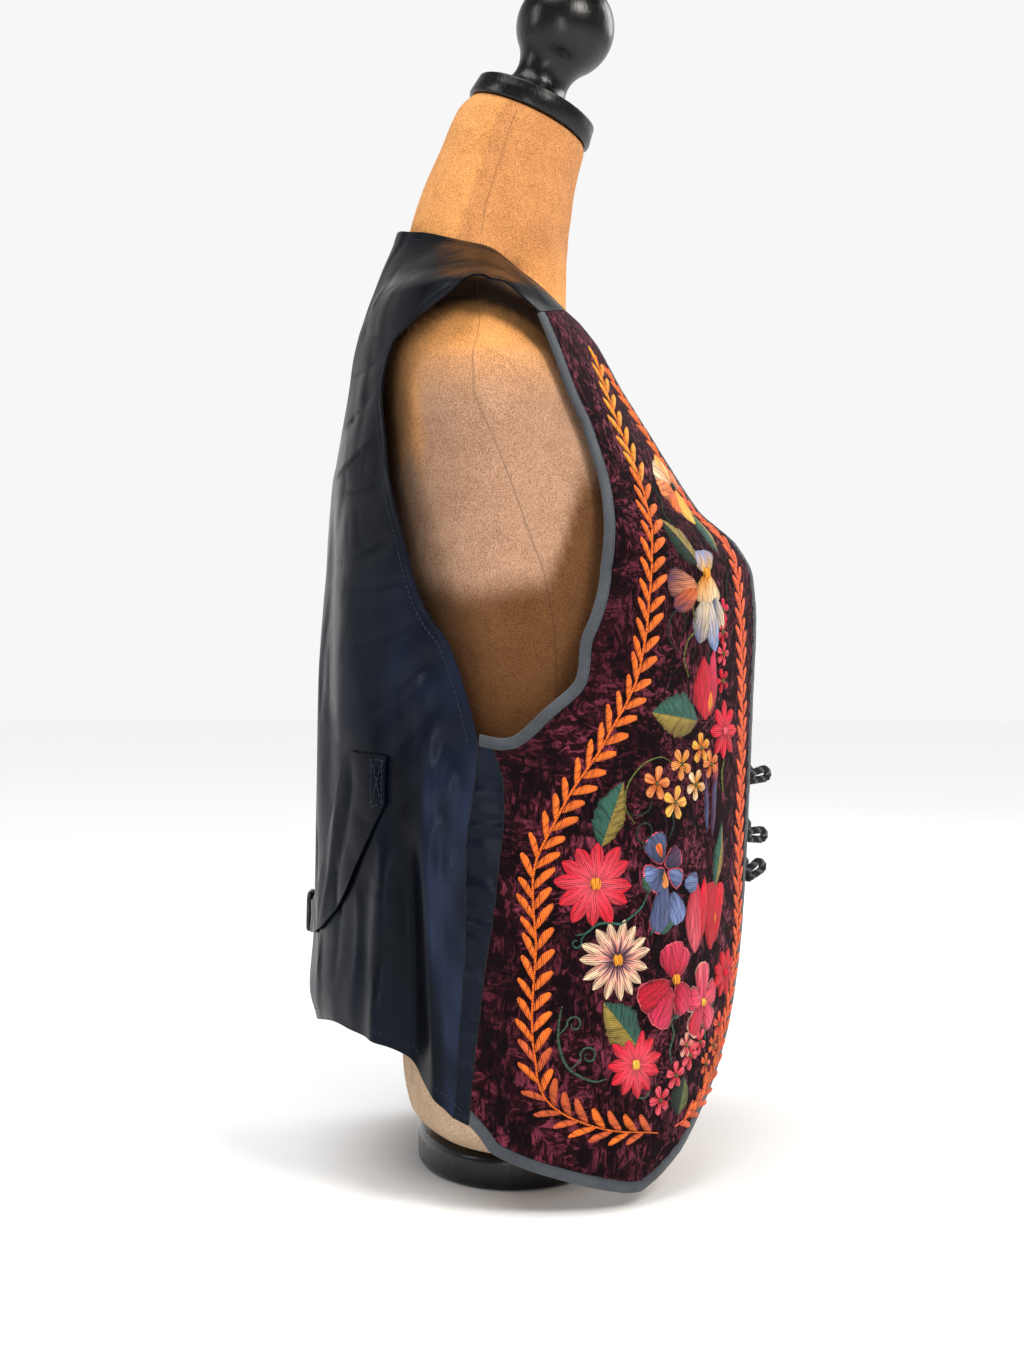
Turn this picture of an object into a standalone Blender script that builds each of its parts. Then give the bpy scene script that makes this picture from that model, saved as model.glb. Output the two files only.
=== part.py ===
"""Embroidered folk vest, worn open on a limbless dress form.

A burgundy velvet vest with a black satin back hangs unfastened from the
shoulders of a suede-covered form that stands on a low wooden foot.
+Z is up, the front faces -Y and the wearer's right side is at -X. The origin
is at the centre of the foot's underside. Tables are in millimetres and
degrees; functions return metres. A turn is measured about the vertical axis
from the centre front, over the wearer's right side, to the centre back (180).
"""

import math
from collections import namedtuple

import bmesh
import bpy
from mathutils import Matrix, Vector

MM = 0.001
GAP = 0.3                # left between pieces that touch

# Foot, neck cap and finial
FOOT_HEIGHT = 20
FOOT_HALF_WIDTH = 90
FOOT_HALF_DEPTH = 56
FOOT_ROUNDING = 5
NECK_TOP_HEIGHT = 618
NECK_TOP_CENTRE = -9.3
FINIAL_SHIFT = 3         # the finial sits this far behind the cap's centre
NECK_LEAN = 24.4         # the neck's top faces forward by this many degrees

# Cloth
SATIN_WALL = 1.6
VELVET_WALL = 2.2
BINDING_WIDTH = 6.5
BINDING_THICKNESS = 3.2
SEAM_GAP = 0.4           # left along the sewn seams
BELT_THICKNESS = 1.6
BELT_GAP = 0.6           # the belt lies over a back that gives a little

# Fastenings
CORD_RADIUS = 1.4
LOOP_LENGTH = 14
LOOP_WIDTH = 5.2         # between the centres of a loop's two legs
BUTTON_RADIUS = 5.5
BUCKLE_HALF_HEIGHT = 12
BUCKLE_HALF_LENGTH = 12
BUCKLE_THICKNESS = 3
BUTTON_SEAT = 0.9        # height of a button's shank over the cloth's face
LOOP_ROOT_GAP = 1.1     # a loop's cord starts this far before the edge

# The form's sections: half sizes measured from a centre that shifts backward.
FormSection = namedtuple("FormSection", "height centre side front back")
FORM = [
    FormSection(20.3, -5, 90, 52, 46),
    FormSection(24, -5, 103, 63, 55),
    FormSection(36, -5, 122, 79, 66),
    FormSection(60, -5, 135, 87, 70),
    FormSection(95, -5, 138, 88, 71),
    FormSection(160, -5, 122, 82, 64),
    FormSection(215, -3, 125, 90, 62),
    FormSection(270, 0, 137, 110, 66),
    FormSection(310, 0, 145, 120, 70),
    FormSection(350, 2, 148, 114, 72),
    FormSection(390, 5, 150, 99, 72),
    FormSection(430, 9, 151, 80, 68),
    FormSection(460, 13, 147, 65, 65),
    FormSection(480, 16, 140, 54, 61),
    FormSection(495, 17, 128, 44, 56),
    FormSection(505, 18, 116, 35.5, 50),
    FormSection(515, 18, 98, 24.5, 43),
    FormSection(525, 18, 78, 17, 35),
    FormSection(535, 18, 58, 12, 25),
    FormSection(545, 18, 36, 8, 14),
]

# The neck leans forward: each section is tipped by its lean in degrees.
NeckSection = namedtuple("NeckSection", "height centre side front back lean")
NECK = [
    NeckSection(480, 15, 52, 52, 50, 0),
    NeckSection(505, 15, 52, 50, 50, 0),
    NeckSection(530, 15.5, 50, 49, 49.5, 1),
    NeckSection(548, 13.5, 48, 47, 48, 4),
    NeckSection(568, 8.5, 44, 44, 46, 8),
    NeckSection(590, 1.5, 41, 39.5, 41.5, 15),
    NeckSection(612, -5.4, 39.5, 37.2, 37.2, 21),
    NeckSection(NECK_TOP_HEIGHT, NECK_TOP_CENTRE, 37, 33.5, 33.5, NECK_LEAN),
]
FORM_RING_HEIGHTS = (20.3, 23, 30, 42, 60, 88, 120, 160, 200, 235, 270, 305, 335, 365, 395, 422,
                     444, 461, 475, 486, 495, 503, 511, 519, 527, 536, 548, 562, 577, 594, 612,
                     NECK_TOP_HEIGHT)
FORM_POINTS_ROUND = 36

# The vest's outer surface. A front power under 2 makes the open fronts hang
# like a prow, and a back power over 2 keeps the back flat.
ClothSection = namedtuple("ClothSection", "height centre side front back frontPower backPower")
CLOTH = [
    ClothSection(-20, 0, 144, 124, 109, 1.6, 2.4),
    ClothSection(40, 0, 150, 134, 113, 1.6, 2.4),
    ClothSection(83, 0, 152, 139, 114, 1.6, 2.4),
    ClothSection(106, 0, 152, 141.5, 119.5, 1.6, 2.4),
    ClothSection(140, 0, 153, 144.5, 117, 1.6, 2.4),
    ClothSection(225, 0, 155, 148.5, 115.3, 1.6, 2.4),
    ClothSection(285, 0, 156, 151, 114.2, 1.6, 2.4),
    ClothSection(325, 1, 157, 153.5, 110.5, 1.6, 2.4),
    ClothSection(345, 2, 157, 152.5, 107.7, 1.62, 2.4),
    ClothSection(362, 3, 157, 144, 105.3, 1.65, 2.4),
    ClothSection(381, 4, 157, 121, 102.8, 1.75, 2.4),
    ClothSection(400, 6, 157, 108.5, 99, 1.85, 2.4),
    ClothSection(424, 8, 157, 94, 93, 1.95, 2.4),
    ClothSection(452, 12, 157, 79.5, 84.3, 2, 2.3),
    ClothSection(471, 14.5, 155, 71.5, 79.4, 2, 2.2),
    ClothSection(484, 16, 153, 62.4, 75, 2, 2.1),
    ClothSection(494, 17, 148, 52, 71, 2, 2),
    ClothSection(508.2, 18, 117, 40, 65.7, 2, 2),
    ClothSection(518, 18, 98, 28, 62.3, 2, 2),
    ClothSection(528, 18, 78, 20, 58.5, 2, 2),
    ClothSection(538, 18, 58, 14, 53.8, 2, 2),
    ClothSection(551, 18, 40, 10, 47, 2, 2),
]
COLLAR_SIDE = 54         # the cloth clears the neck by these half sizes
COLLAR_FRONT = 53
COLLAR_BACK = 46
MERGE_POWER = 8          # how sharply shoulders and neck run into one section

# Folds of the hanging back: a line from top to bottom, a width in degrees and a
# rise that is negative for a trough. A fold fades out toward both of its ends.
Fold = namedtuple("Fold", "topTurn topHeight lowTurn lowHeight width rise")
FOLDS = [
    Fold(113.5, 214, 111.0, 10, 2.6, -6.5),
    Fold(117.6, 212, 119.0, 10, 2.4, 2.8),
    Fold(109.6, 214, 104.5, 10, 2.6, 3.0),
    Fold(108.5, 300, 106.0, 150, 2.8, 2.4),
    Fold(246.0, 214, 249.0, 10, 2.7, -5.8),
    Fold(241.8, 210, 240.5, 10, 2.5, 2.6),
    Fold(250.4, 214, 255.5, 10, 2.6, 2.8),
    Fold(152.0, 400, 140.0, 190, 5.5, -2.4),
    Fold(206.0, 410, 218.0, 185, 6.0, -2.2),
]
FOLD_FADE = 0.24
CALM_TURN = 102.5        # the folds die out before the side strips
CALM_SPAN = 4

# Outlines on the vest's surface, as turn and height.
Spot = namedtuple("Spot", "turn height")
BACK_HEM = [Spot(102, 53), Spot(106, 63), Spot(110, 71), Spot(114, 82), Spot(120, 89),
            Spot(130, 93), Spot(139, 95), Spot(158, 89), Spot(180, 82)]
BACK_SEAM = [Spot(102, 53), Spot(100.4, 109), Spot(99.5, 140), Spot(99.3, 175), Spot(99, 202),
             Spot(98, 219), Spot(97.2, 236), Spot(96.7, 253)]
BACK_ARMHOLE = [Spot(96.7, 253), Spot(97.4, 261), Spot(99, 277), Spot(101, 293), Spot(103, 306),
                Spot(107, 320), Spot(110, 338), Spot(112, 359), Spot(115, 385), Spot(116.2, 410),
                Spot(117.5, 440), Spot(113, 464), Spot(107, 473), Spot(100, 482.5),
                Spot(96, 489.5), Spot(92.3, 498.5), Spot(89.3, 500), Spot(87.5, 496.5),
                Spot(84.5, 495.5), Spot(81, 487.5), Spot(77.6, 480.3)]
BACK_NECK = [Spot(180, 551), Spot(160, 549.5), Spot(140, 545.5), Spot(123, 542), Spot(108, 537),
             Spot(96, 532), Spot(89.5, 529), Spot(82, 525), Spot(74, 517), Spot(65, 506.5),
             Spot(56.6, 494.3)]
SIDE_SEAM = [Spot(99, 50), Spot(97.4, 89), Spot(96.4, 111), Spot(95.2, 137), Spot(93.9, 158),
             Spot(92.7, 186), Spot(91.7, 211), Spot(91.9, 232), Spot(93.65, 247)]
FRONT_ARMHOLE = [Spot(96.3, 256), Spot(93.9, 254.6), Spot(91.2, 254), Spot(88.6, 257),
                 Spot(83.6, 269.5), Spot(78.6, 281), Spot(77, 289), Spot(76.4, 305),
                 Spot(74, 320), Spot(72.1, 337), Spot(70, 368), Spot(69.5, 390), Spot(71.3, 417),
                 Spot(73.6, 435), Spot(75.6, 460), Spot(77.4, 479.6)]
FRONT_HEM = [Spot(98.7, 49.5), Spot(96.5, 43), Spot(94.5, 36), Spot(91, 31), Spot(86.5, 26),
             Spot(79.7, 20), Spot(72.3, 14), Spot(64.7, 9), Spot(60, 8)]
FRONT_EDGE = [Spot(60, 8), Spot(55, 13), Spot(49.6, 20), Spot(45, 27), Spot(39.5, 39),
              Spot(32, 56), Spot(26, 74), Spot(21.7, 93), Spot(19, 118), Spot(17.6, 150),
              Spot(16.5, 200), Spot(16, 290), Spot(16.5, 338), Spot(19, 361), Spot(24, 381),
              Spot(28.2, 400), Spot(33.7, 423.5), Spot(40.9, 452), Spot(46.1, 471),
              Spot(51.1, 484), Spot(56.7, 493.9)]

BACK_COLUMNS = 18
BACK_HEM_TO_NECK_ROWS = 17
BACK_STRAP_ROWS = 15
SEAM_ROWS = 10
SEAM_START = 0.475       # share of the seam's first step that the hem binding takes
STRIP_TOP = 0.7          # share of the seam's last step that the side strip reaches
FRONT_COLUMNS = 12
FRONT_ROWS = 39
ARMHOLE_ROWS = 30
UNDERARM_STEPS = 1       # steps of the armhole that lie over the side strip
SHOULDER_STEPS = 24
BELT_STEPS = 12
BINDING_SECTION = [(0, 0), (0.12, 0.72), (0.5, 1), (0.88, 0.72),
                   (1, 0), (0.88, -0.72), (0.5, -1), (0.12, -0.72)]     # across, rise

LOOPS = [("top", 229, 12), ("middle", 195, 0), ("bottom", 170, 34)]   # name, height, tilt
BELT_UPPER = [Spot(117.5, 244), Spot(126, 245), Spot(131.5, 242), Spot(138.5, 203),
              Spot(149.5, 165), Spot(164, 156), Spot(179.85, 155)]
BELT_LOWER = [Spot(117.5, 218), Spot(120, 208), Spot(125.5, 188), Spot(133, 163),
              Spot(146, 144), Spot(163, 138), Spot(179.85, 138)]
BELT_CENTRE_HEIGHT = 146.5

SUEDE = ("suede", (0.36, 0.19, 0.085), 0.85)
BLACK_WOOD = ("black wood", (0.012, 0.011, 0.011), 0.35)
SATIN = ("satin", (0.012, 0.014, 0.024), 0.32)
VELVET = ("velvet", (0.045, 0.006, 0.016), 0.75)
BINDING = ("binding", (0.055, 0.06, 0.07), 0.6)
CORD = ("cord", (0.02, 0.022, 0.026), 0.7)
BLACK_METAL = ("black metal", (0.02, 0.02, 0.022), 0.4)


def lookUp(rows, column, height):
    """A column's value at a height, on a smooth curve that never overshoots its rows."""
    last = len(rows) - 1
    if height <= rows[0].height:
        return getattr(rows[0], column)
    if height >= rows[last].height:
        return getattr(rows[last], column)
    low = max(i for i in range(last) if rows[i].height <= height)

    def slope(i):
        rise = getattr(rows[i + 1], column) - getattr(rows[i], column)
        return rise / (rows[i + 1].height - rows[i].height)

    def tangent(i):
        if i == 0:
            return slope(0)
        if i == last:
            return slope(last - 1)
        before, after = slope(i - 1), slope(i)
        if before * after <= 0:
            return 0.0
        return 2 * before * after / (before + after)

    span = rows[low + 1].height - rows[low].height
    t = (height - rows[low].height) / span
    start, end = getattr(rows[low], column), getattr(rows[low + 1], column)
    return (start * (1 + 2 * t) * (1 - t) ** 2 + end * t * t * (3 - 2 * t)
            + span * (tangent(low) * t * (1 - t) ** 2 - tangent(low + 1) * t * t * (1 - t)))


def ovalRadius(turn, side, front, back, frontPower=2.0, backPower=2.0):
    """Distance from the centre to an oval with unlike front and back halves."""
    across, along = abs(math.sin(turn)), math.cos(turn)
    depth, power = (front, frontPower) if along > 0 else (back, backPower)
    power = 2 + (power - 2) * along * along
    return ((across / side) ** power + (abs(along) / depth) ** power) ** (-1 / power)


def merged(first, second):
    """A smooth outline round two overlapping ones."""
    return (first ** MERGE_POWER + second ** MERGE_POWER) ** (1 / MERGE_POWER)


def formPoint(turn, height):
    """A point of the form's surface; above the shoulders the sections lean."""
    turn = math.radians(turn)
    neck = {name: lookUp(NECK, name, height) for name in NeckSection._fields}
    radius = ovalRadius(turn, neck["side"], neck["front"], neck["back"])
    centre = neck["centre"]
    if height <= FORM[-1].height:
        torso = {name: lookUp(FORM, name, height) for name in FormSection._fields}
        body = ovalRadius(turn, torso["side"], torso["front"], torso["back"])
        share = min(1.0, (FORM[-1].height - height) / 40)
        centre += (torso["centre"] - centre) * share
        radius = merged(body, radius) if height >= NECK[0].height else body
    offset = -radius * math.cos(turn)
    lean = math.tan(math.radians(neck["lean"]))
    return Vector((-radius * math.sin(turn), centre + offset, height + lean * offset)) * MM


def eased(t):
    t = min(1.0, max(0.0, t))
    return t * t * (3 - 2 * t)


def foldRise(turn, height):
    """How far the folds lift the cloth at a point, in millimetres."""
    calm = eased((min(turn, 360 - turn) - CALM_TURN) / CALM_SPAN)
    total = 0.0
    for fold in FOLDS if calm else ():
        along = (fold.topHeight - height) / (fold.topHeight - fold.lowHeight)
        line = fold.topTurn + (fold.lowTurn - fold.topTurn) * along
        away = (turn - line) / fold.width
        ends = eased(along / FOLD_FADE) * eased((1 - along) / FOLD_FADE)
        total += fold.rise * ends * math.exp(-away * away)
    return total * calm


def clothBase(turn, height):
    """A point of the vest's outer surface, folds included."""
    cloth = {name: lookUp(CLOTH, name, height) for name in ClothSection._fields}
    angle = math.radians(turn)
    radius = ovalRadius(angle, cloth["side"], cloth["front"], cloth["back"],
                        cloth["frontPower"], cloth["backPower"])
    if height > NECK[0].height:
        radius = merged(radius, ovalRadius(angle, COLLAR_SIDE, COLLAR_FRONT, COLLAR_BACK))
    radius += foldRise(turn, height)
    return Vector((-radius * math.sin(angle), cloth["centre"] - radius * math.cos(angle),
                   height)) * MM


def slopes(turn, height):
    """The surface's directions round the body and upward, for a degree and a millimetre."""
    step = 0.25
    around = (clothBase(turn + step, height) - clothBase(turn - step, height)) / (2 * step)
    upward = (clothBase(turn, height + step) - clothBase(turn, height - step)) / (2 * step)
    return around, upward


def clothPoint(turn, height, out=0.0):
    """A point of the vest's surface moved out along the normal by millimetres."""
    base = clothBase(turn, height)
    if not out:
        return base
    around, upward = slopes(turn, height)
    normal = upward.cross(around).normalized()
    return base + normal * out * MM


def trace(spots, count):
    """Points evenly spaced along the smooth curve through the spots of an outline."""
    fine = []
    for i in range(len(spots) - 1):
        ends = [spots[max(i - 1, 0)], spots[i], spots[i + 1], spots[min(i + 2, len(spots) - 1)]]
        for step in range(12):
            fine.append(Spot(*(curveValue([getattr(s, name) for s in ends], step / 12)
                               for name in Spot._fields)))
    fine.append(spots[-1])
    lengths = [0.0]
    for first, second in zip(fine, fine[1:]):
        lengths.append(lengths[-1] + (clothBase(*second) - clothBase(*first)).length)
    return [atLength(fine, lengths, lengths[-1] * i / count) for i in range(count + 1)]


def curveValue(values, t):
    """Catmull-Rom value between the second and third of four values."""
    a, b, c, d = values
    return 0.5 * (2 * b + (c - a) * t + (2 * a - 5 * b + 4 * c - d) * t * t
                  + (3 * b - a - 3 * c + d) * t ** 3)


def atLength(fine, lengths, length):
    """The spot at a length along a finely divided curve."""
    i = max(k for k in range(len(lengths) - 1) if lengths[k] <= length)
    t = (length - lengths[i]) / max(lengths[i + 1] - lengths[i], 1e-9)
    first, second = fine[i], fine[min(i + 1, len(fine) - 1)]
    return Spot(first.turn + (second.turn - first.turn) * t,
                first.height + (second.height - first.height) * t)


def tangentAt(path, i):
    """Unit direction of a path on the surface at one of its points."""
    before, after = path[max(i - 1, 0)], path[min(i + 1, len(path) - 1)]
    return (clothBase(*after) - clothBase(*before)).normalized()


def inwards(path, sign=1, first=None, last=None):
    """Directions on the surface from a path to the cloth on its left, or right for sign -1.

    An end that is cut along another seam takes that seam's direction, lengthened to keep
    the width of what follows the path.
    """
    result = []
    for i, spot in enumerate(path):
        around, upward = slopes(*spot)
        normal = upward.cross(around).normalized()
        result.append(normal.cross(tangentAt(path, i)).normalized() * sign)
    for i, seam in ((0, first), (-1, last)):
        if seam:
            result[i] = seam / seam.dot(result[i])
    return result


def moved(path, distance, sign=1, first=None, last=None):
    """The path shifted along the surface toward its cloth by millimetres."""
    result = []
    for spot, inward in zip(path, inwards(path, sign, first, last)):
        goal = clothBase(*spot) + inward * distance * MM
        for _ in range(4):
            around, upward = slopes(*spot)
            miss = goal - clothBase(*spot)
            aa, au, uu = around.dot(around), around.dot(upward), upward.dot(upward)
            ma, mu = miss.dot(around), miss.dot(upward)
            scale = aa * uu - au * au
            spot = Spot(spot.turn + (ma * uu - mu * au) / scale,
                        spot.height + (mu * aa - ma * au) / scale)
        result.append(spot)
    return result


def direction(first, second):
    return (clothBase(*second) - clothBase(*first)).normalized()


def between(first, second, t):
    return Spot(first.turn + (second.turn - first.turn) * t,
                first.height + (second.height - first.height) * t)


def rowsBetween(starts, ends, columns, bottom=None, bottomReach=0.5):
    """Rows of spots from one side curve to the other, the lowest ones bent to the hem."""
    rows = []
    for i, (start, end) in enumerate(zip(starts, ends)):
        pull = max(0.0, 1 - i / (bottomReach * (len(starts) - 1))) if bottom else 0.0
        row = []
        for j in range(columns + 1):
            spot = between(start, end, j / columns)
            if pull:
                straight = between(starts[0], ends[0], j / columns)
                spot = Spot(spot.turn + pull * (bottom[j].turn - straight.turn),
                            spot.height + pull * (bottom[j].height - straight.height))
            row.append(spot)
        rows.append(row)
    return rows


def addObject(name, mesh, look):
    colour, roughness = look[1], look[2]
    material = bpy.data.materials.new(look[0])
    material.use_nodes = True
    shader = material.node_tree.nodes["Principled BSDF"]
    shader.inputs["Base Color"].default_value = (*colour, 1)
    shader.inputs["Roughness"].default_value = roughness
    mesh.materials.append(material)
    piece = bpy.data.objects.new(name, mesh)
    vest.objects.link(piece)
    return piece


def finishMesh(name, points, faces, look):
    """An object from rings or grids of points, shaded smooth up to 40 degrees."""
    mesh = bpy.data.meshes.new(name)
    mesh.from_pydata([tuple(point) for point in points], [], faces)
    shape = bmesh.new()
    shape.from_mesh(mesh)
    bmesh.ops.recalc_face_normals(shape, faces=shape.faces)
    shape.to_mesh(mesh)
    shape.free()
    mesh.shade_smooth()
    mesh.set_sharp_from_angle(angle=math.radians(40))
    return addObject(name, mesh, look)


def mirrored(point, left):
    return Vector((-point.x, point.y, point.z)) if left else point


def wall(name, rows, thickness, look, left=False, outer=0.0):
    """A closed sheet of cloth on a grid of spots, its outer face at the given rise."""
    tall, wide = len(rows), len(rows[0])
    points = []
    for rise in (outer, outer - thickness):
        points += [mirrored(clothPoint(*spot, rise), left) for row in rows for spot in row]

    def index(layer, i, j):
        return layer * tall * wide + i * wide + j

    faces = []
    for i in range(tall - 1):
        for j in range(wide - 1):
            for layer in (0, 1):
                faces.append((index(layer, i, j), index(layer, i, j + 1),
                              index(layer, i + 1, j + 1), index(layer, i + 1, j)))
    rim = [(0, j) for j in range(wide - 1)] + [(i, wide - 1) for i in range(tall - 1)]
    rim += [(tall - 1, j) for j in range(wide - 1, 0, -1)] + [(i, 0) for i in range(tall - 1, 0, -1)]
    for (i, j), (k, m) in zip(rim, rim[1:] + rim[:1]):
        faces.append((index(0, i, j), index(1, i, j), index(1, k, m), index(0, k, m)))
    return finishMesh(name, points, faces, look)


def loft(name, rings, look):
    """A closed skin over like rings of points, with a flat face on each end."""
    count = len(rings[0])
    faces = [tuple(range(count)), tuple(range((len(rings) - 1) * count, len(rings) * count))]
    for i in range(len(rings) - 1):
        for j in range(count):
            after = (j + 1) % count
            faces.append((i * count + j, i * count + after,
                          (i + 1) * count + after, (i + 1) * count + j))
    return finishMesh(name, [point for ring in rings for point in ring], faces, look)


def turned(name, profile, steps, look):
    """A turned piece: a profile of (radius, height) rows, from its top down, about Z."""
    mesh = bpy.data.meshes.new(name)
    mesh.from_pydata([(radius * MM, 0, height * MM) for radius, height in profile],
                     [(i, i + 1) for i in range(len(profile) - 1)], [])
    piece = addObject(name, mesh, look)
    screw = piece.modifiers.new("Turn", "SCREW")
    screw.steps = screw.render_steps = steps
    screw.use_merge_vertices = True
    screw.merge_threshold = 0.00001
    screw.use_smooth_shade = True
    return piece


def arc(centre, radius, first, last, steps):
    """Profile rows on a round stretch, with angles from the horizontal."""
    rows = []
    for i in range(steps + 1):
        angle = math.radians(first + (last - first) * i / steps)
        rows.append((centre[0] + radius * math.cos(angle), centre[1] + radius * math.sin(angle)))
    return rows


def buildForm():
    rings = []
    for height in FORM_RING_HEIGHTS:
        ring = []
        for i in range(FORM_POINTS_ROUND):
            turn = 360 * i / FORM_POINTS_ROUND
            turn += 12 * math.sin(2 * math.radians(turn))      # closer together at the shoulders
            ring.append(formPoint(turn, height))
        rings.append(ring)
    loft("form_torso", rings, SUEDE)


def buildFoot():
    """A low oval block that carries the form, with its edges rounded."""
    bpy.ops.mesh.primitive_cylinder_add(vertices=36, radius=1, depth=FOOT_HEIGHT * MM)
    cylinder = bpy.context.object
    mesh = cylinder.data
    bpy.data.objects.remove(cylinder)
    mesh.transform(Matrix.Diagonal((FOOT_HALF_WIDTH * MM, FOOT_HALF_DEPTH * MM, 1, 1)))
    mesh.shade_smooth()
    foot = addObject("foot", mesh, BLACK_WOOD)
    foot.location = (0, 0, FOOT_HEIGHT * MM / 2)
    bevel = foot.modifiers.new("Round", "BEVEL")
    bevel.width = FOOT_ROUNDING * MM
    bevel.segments = 3
    bevel.limit_method = "ANGLE"


def buildNeckPieces():
    """Cap and finial, turned about the leaning axis of the neck."""
    lean = Matrix.Rotation(math.radians(NECK_LEAN), 4, "X")
    seat = Matrix.Translation((0, NECK_TOP_CENTRE * MM, NECK_TOP_HEIGHT * MM)) @ lean
    capProfile = [(0, 15.2), (30, 14.8), *arc((36.4, 12.6), 1.4, 75, 0, 2),
                  (39.2, 2.6), *arc((37.4, 2.2), 1.6, -15, -80, 2), (0, GAP)]
    cap = turned("neck_cap", capProfile, 32, BLACK_WOOD)
    cap.matrix_world = seat
    top = 15.2 + GAP
    ball = top + 46
    finialProfile = [(0, ball + 29.5), *arc((0, ball), 29.5, 80, -38, 9), (18.4, top + 21),
                     (16.4, top + 14), (17.4, top + 7), (21.6, top + 2.4), (22.4, top), (0, top)]
    finial = turned("finial", finialProfile, 24, BLACK_WOOD)
    finial.matrix_world = seat @ Matrix.Translation((0, FINIAL_SHIFT * MM, 0))


vest = bpy.data.collections.new("embroidered_folk_vest")


def buildBack():
    """Satin back with its shoulders, one grid from the hem to the forward shoulder seams."""
    rows = BACK_HEM_TO_NECK_ROWS + BACK_STRAP_ROWS
    lower = trace(BACK_SEAM, SEAM_ROWS)
    upper = trace(BACK_ARMHOLE, rows - SEAM_ROWS)
    starts = lower + upper[1:]
    middle = trace([Spot(180, BACK_HEM[-1].height), Spot(180, 200), Spot(180, 400),
                    Spot(180, BACK_NECK[0].height)], BACK_HEM_TO_NECK_ROWS)
    ends = middle + trace(BACK_NECK, BACK_STRAP_ROWS)[1:]
    hem = trace(BACK_HEM, BACK_COLUMNS)
    half = rowsBetween(starts, ends, BACK_COLUMNS, hem)
    tall, wide = len(half), BACK_COLUMNS + 1
    points = []
    keys = {}

    def place(layer, i, j, left):
        spot = half[i][j]
        onCentre = j == BACK_COLUMNS and i <= BACK_HEM_TO_NECK_ROWS
        key = (layer, i, j, left and not onCentre)
        if key not in keys:
            turn = 360 - spot.turn if left else spot.turn
            keys[key] = len(points)
            points.append(clothPoint(turn, spot.height, -SATIN_WALL * layer))
        return keys[key]

    faces = []
    for left in (False, True):
        for i in range(tall - 1):
            for j in range(wide - 1):
                for layer in (0, 1):
                    faces.append([place(layer, i, j, left), place(layer, i, j + 1, left),
                                  place(layer, i + 1, j + 1, left), place(layer, i + 1, j, left)])
        edge = [(0, j) for j in range(wide - 1, 0, -1)] + [(i, 0) for i in range(tall - 1)]
        edge += [(tall - 1, j) for j in range(wide - 1)]
        edge += [(i, wide - 1) for i in range(tall - 1, BACK_HEM_TO_NECK_ROWS - 1, -1)]
        for (i, j), (k, m) in zip(edge, edge[1:]):
            faces.append([place(0, i, j, left), place(1, i, j, left),
                          place(1, k, m, left), place(0, k, m, left)])
    finishMesh("back_satin", points, faces, SATIN)


def shoulderLine():
    """The velvet's side of the shoulder seam, from the armhole to the neck."""
    return moved(trace([BACK_ARMHOLE[-1], BACK_NECK[-1]], SHOULDER_STEPS), SEAM_GAP, -1)


def frontOutlines():
    """Hem with front edge, and armhole, with the directions of the seams at their ends."""
    shoulder = shoulderLine()
    sideSeam = direction(SIDE_SEAM[0], SIDE_SEAM[1])
    underarm = direction(BACK_SEAM[-1], BACK_SEAM[-2])
    border = trace(FRONT_HEM, FRONT_COLUMNS)[:-1]
    border += trace(FRONT_EDGE[:-1] + [shoulder[-1]], FRONT_ROWS)
    armhole = trace(FRONT_ARMHOLE[:-1] + [shoulder[0]], ARMHOLE_ROWS)
    return ((border, dict(first=sideSeam, last=direction(shoulder[-1], shoulder[-2]))),
            (armhole, dict(sign=-1, first=underarm, last=direction(shoulder[0], shoulder[1]))))


def nearest(path, spot):
    """Index of the path's point nearest to a spot."""
    goal = clothBase(*spot)
    return min(range(len(path)), key=lambda i: (clothBase(*path[i]) - goal).length)


def buildFront(side, left):
    """Velvet front inside its bindings, from the hem to the shoulder seam."""
    border, armhole = (moved(path, BINDING_WIDTH + GAP, **ends) for path, ends in frontOutlines())
    seam = moved(trace(SIDE_SEAM, SEAM_ROWS), SEAM_GAP, -1)
    hem, edge = border[:FRONT_COLUMNS + 1], border[FRONT_COLUMNS:]
    hem[0] = between(seam[0], seam[1], SEAM_START)
    starts = [hem[0], *seam[1:-1], *armhole[UNDERARM_STEPS:]]
    rows = rowsBetween(starts, edge, FRONT_COLUMNS, hem)
    shoulder = shoulderLine()
    rows[-1] = trace([starts[-1], *shoulder[nearest(shoulder, starts[-1]) + 1:
                                            nearest(shoulder, edge[-1])], edge[-1]], FRONT_COLUMNS)
    wall("front_velvet_" + side, rows, VELVET_WALL, VELVET, left)


def buildSideStrip(side, left):
    """The narrow satin strip between the back and the velvet front."""
    backEdge = moved(trace(BACK_SEAM, SEAM_ROWS), SEAM_GAP, -1)
    backEdge[-1] = between(backEdge[-2], backEdge[-1], STRIP_TOP)
    frontEdge = trace(SIDE_SEAM, SEAM_ROWS)
    wall("side_strip_" + side, rowsBetween(backEdge, frontEdge, 2), SATIN_WALL, SATIN, left)


def buildBinding(name, path, ends, left):
    """Folded tape round an edge: an oval section carried along the path."""
    rings = []
    for spot, inward in zip(path, inwards(path, **ends)):
        around, upward = slopes(*spot)
        normal = upward.cross(around).normalized()
        ring = []
        for across, rise in BINDING_SECTION:
            height = rise * BINDING_THICKNESS / 2 - VELVET_WALL / 2
            ring.append(mirrored(clothBase(*spot) + (inward * across * BINDING_WIDTH
                                                     + normal * height) * MM, left))
        rings.append(ring)
    loft(name, rings, BINDING)


def buildBindings(side, left):
    (border, borderEnds), (armhole, armholeEnds) = frontOutlines()
    buildBinding("armhole_binding_" + side, armhole, armholeEnds, left)
    buildBinding("edge_binding_" + side, border, borderEnds, left)


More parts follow.
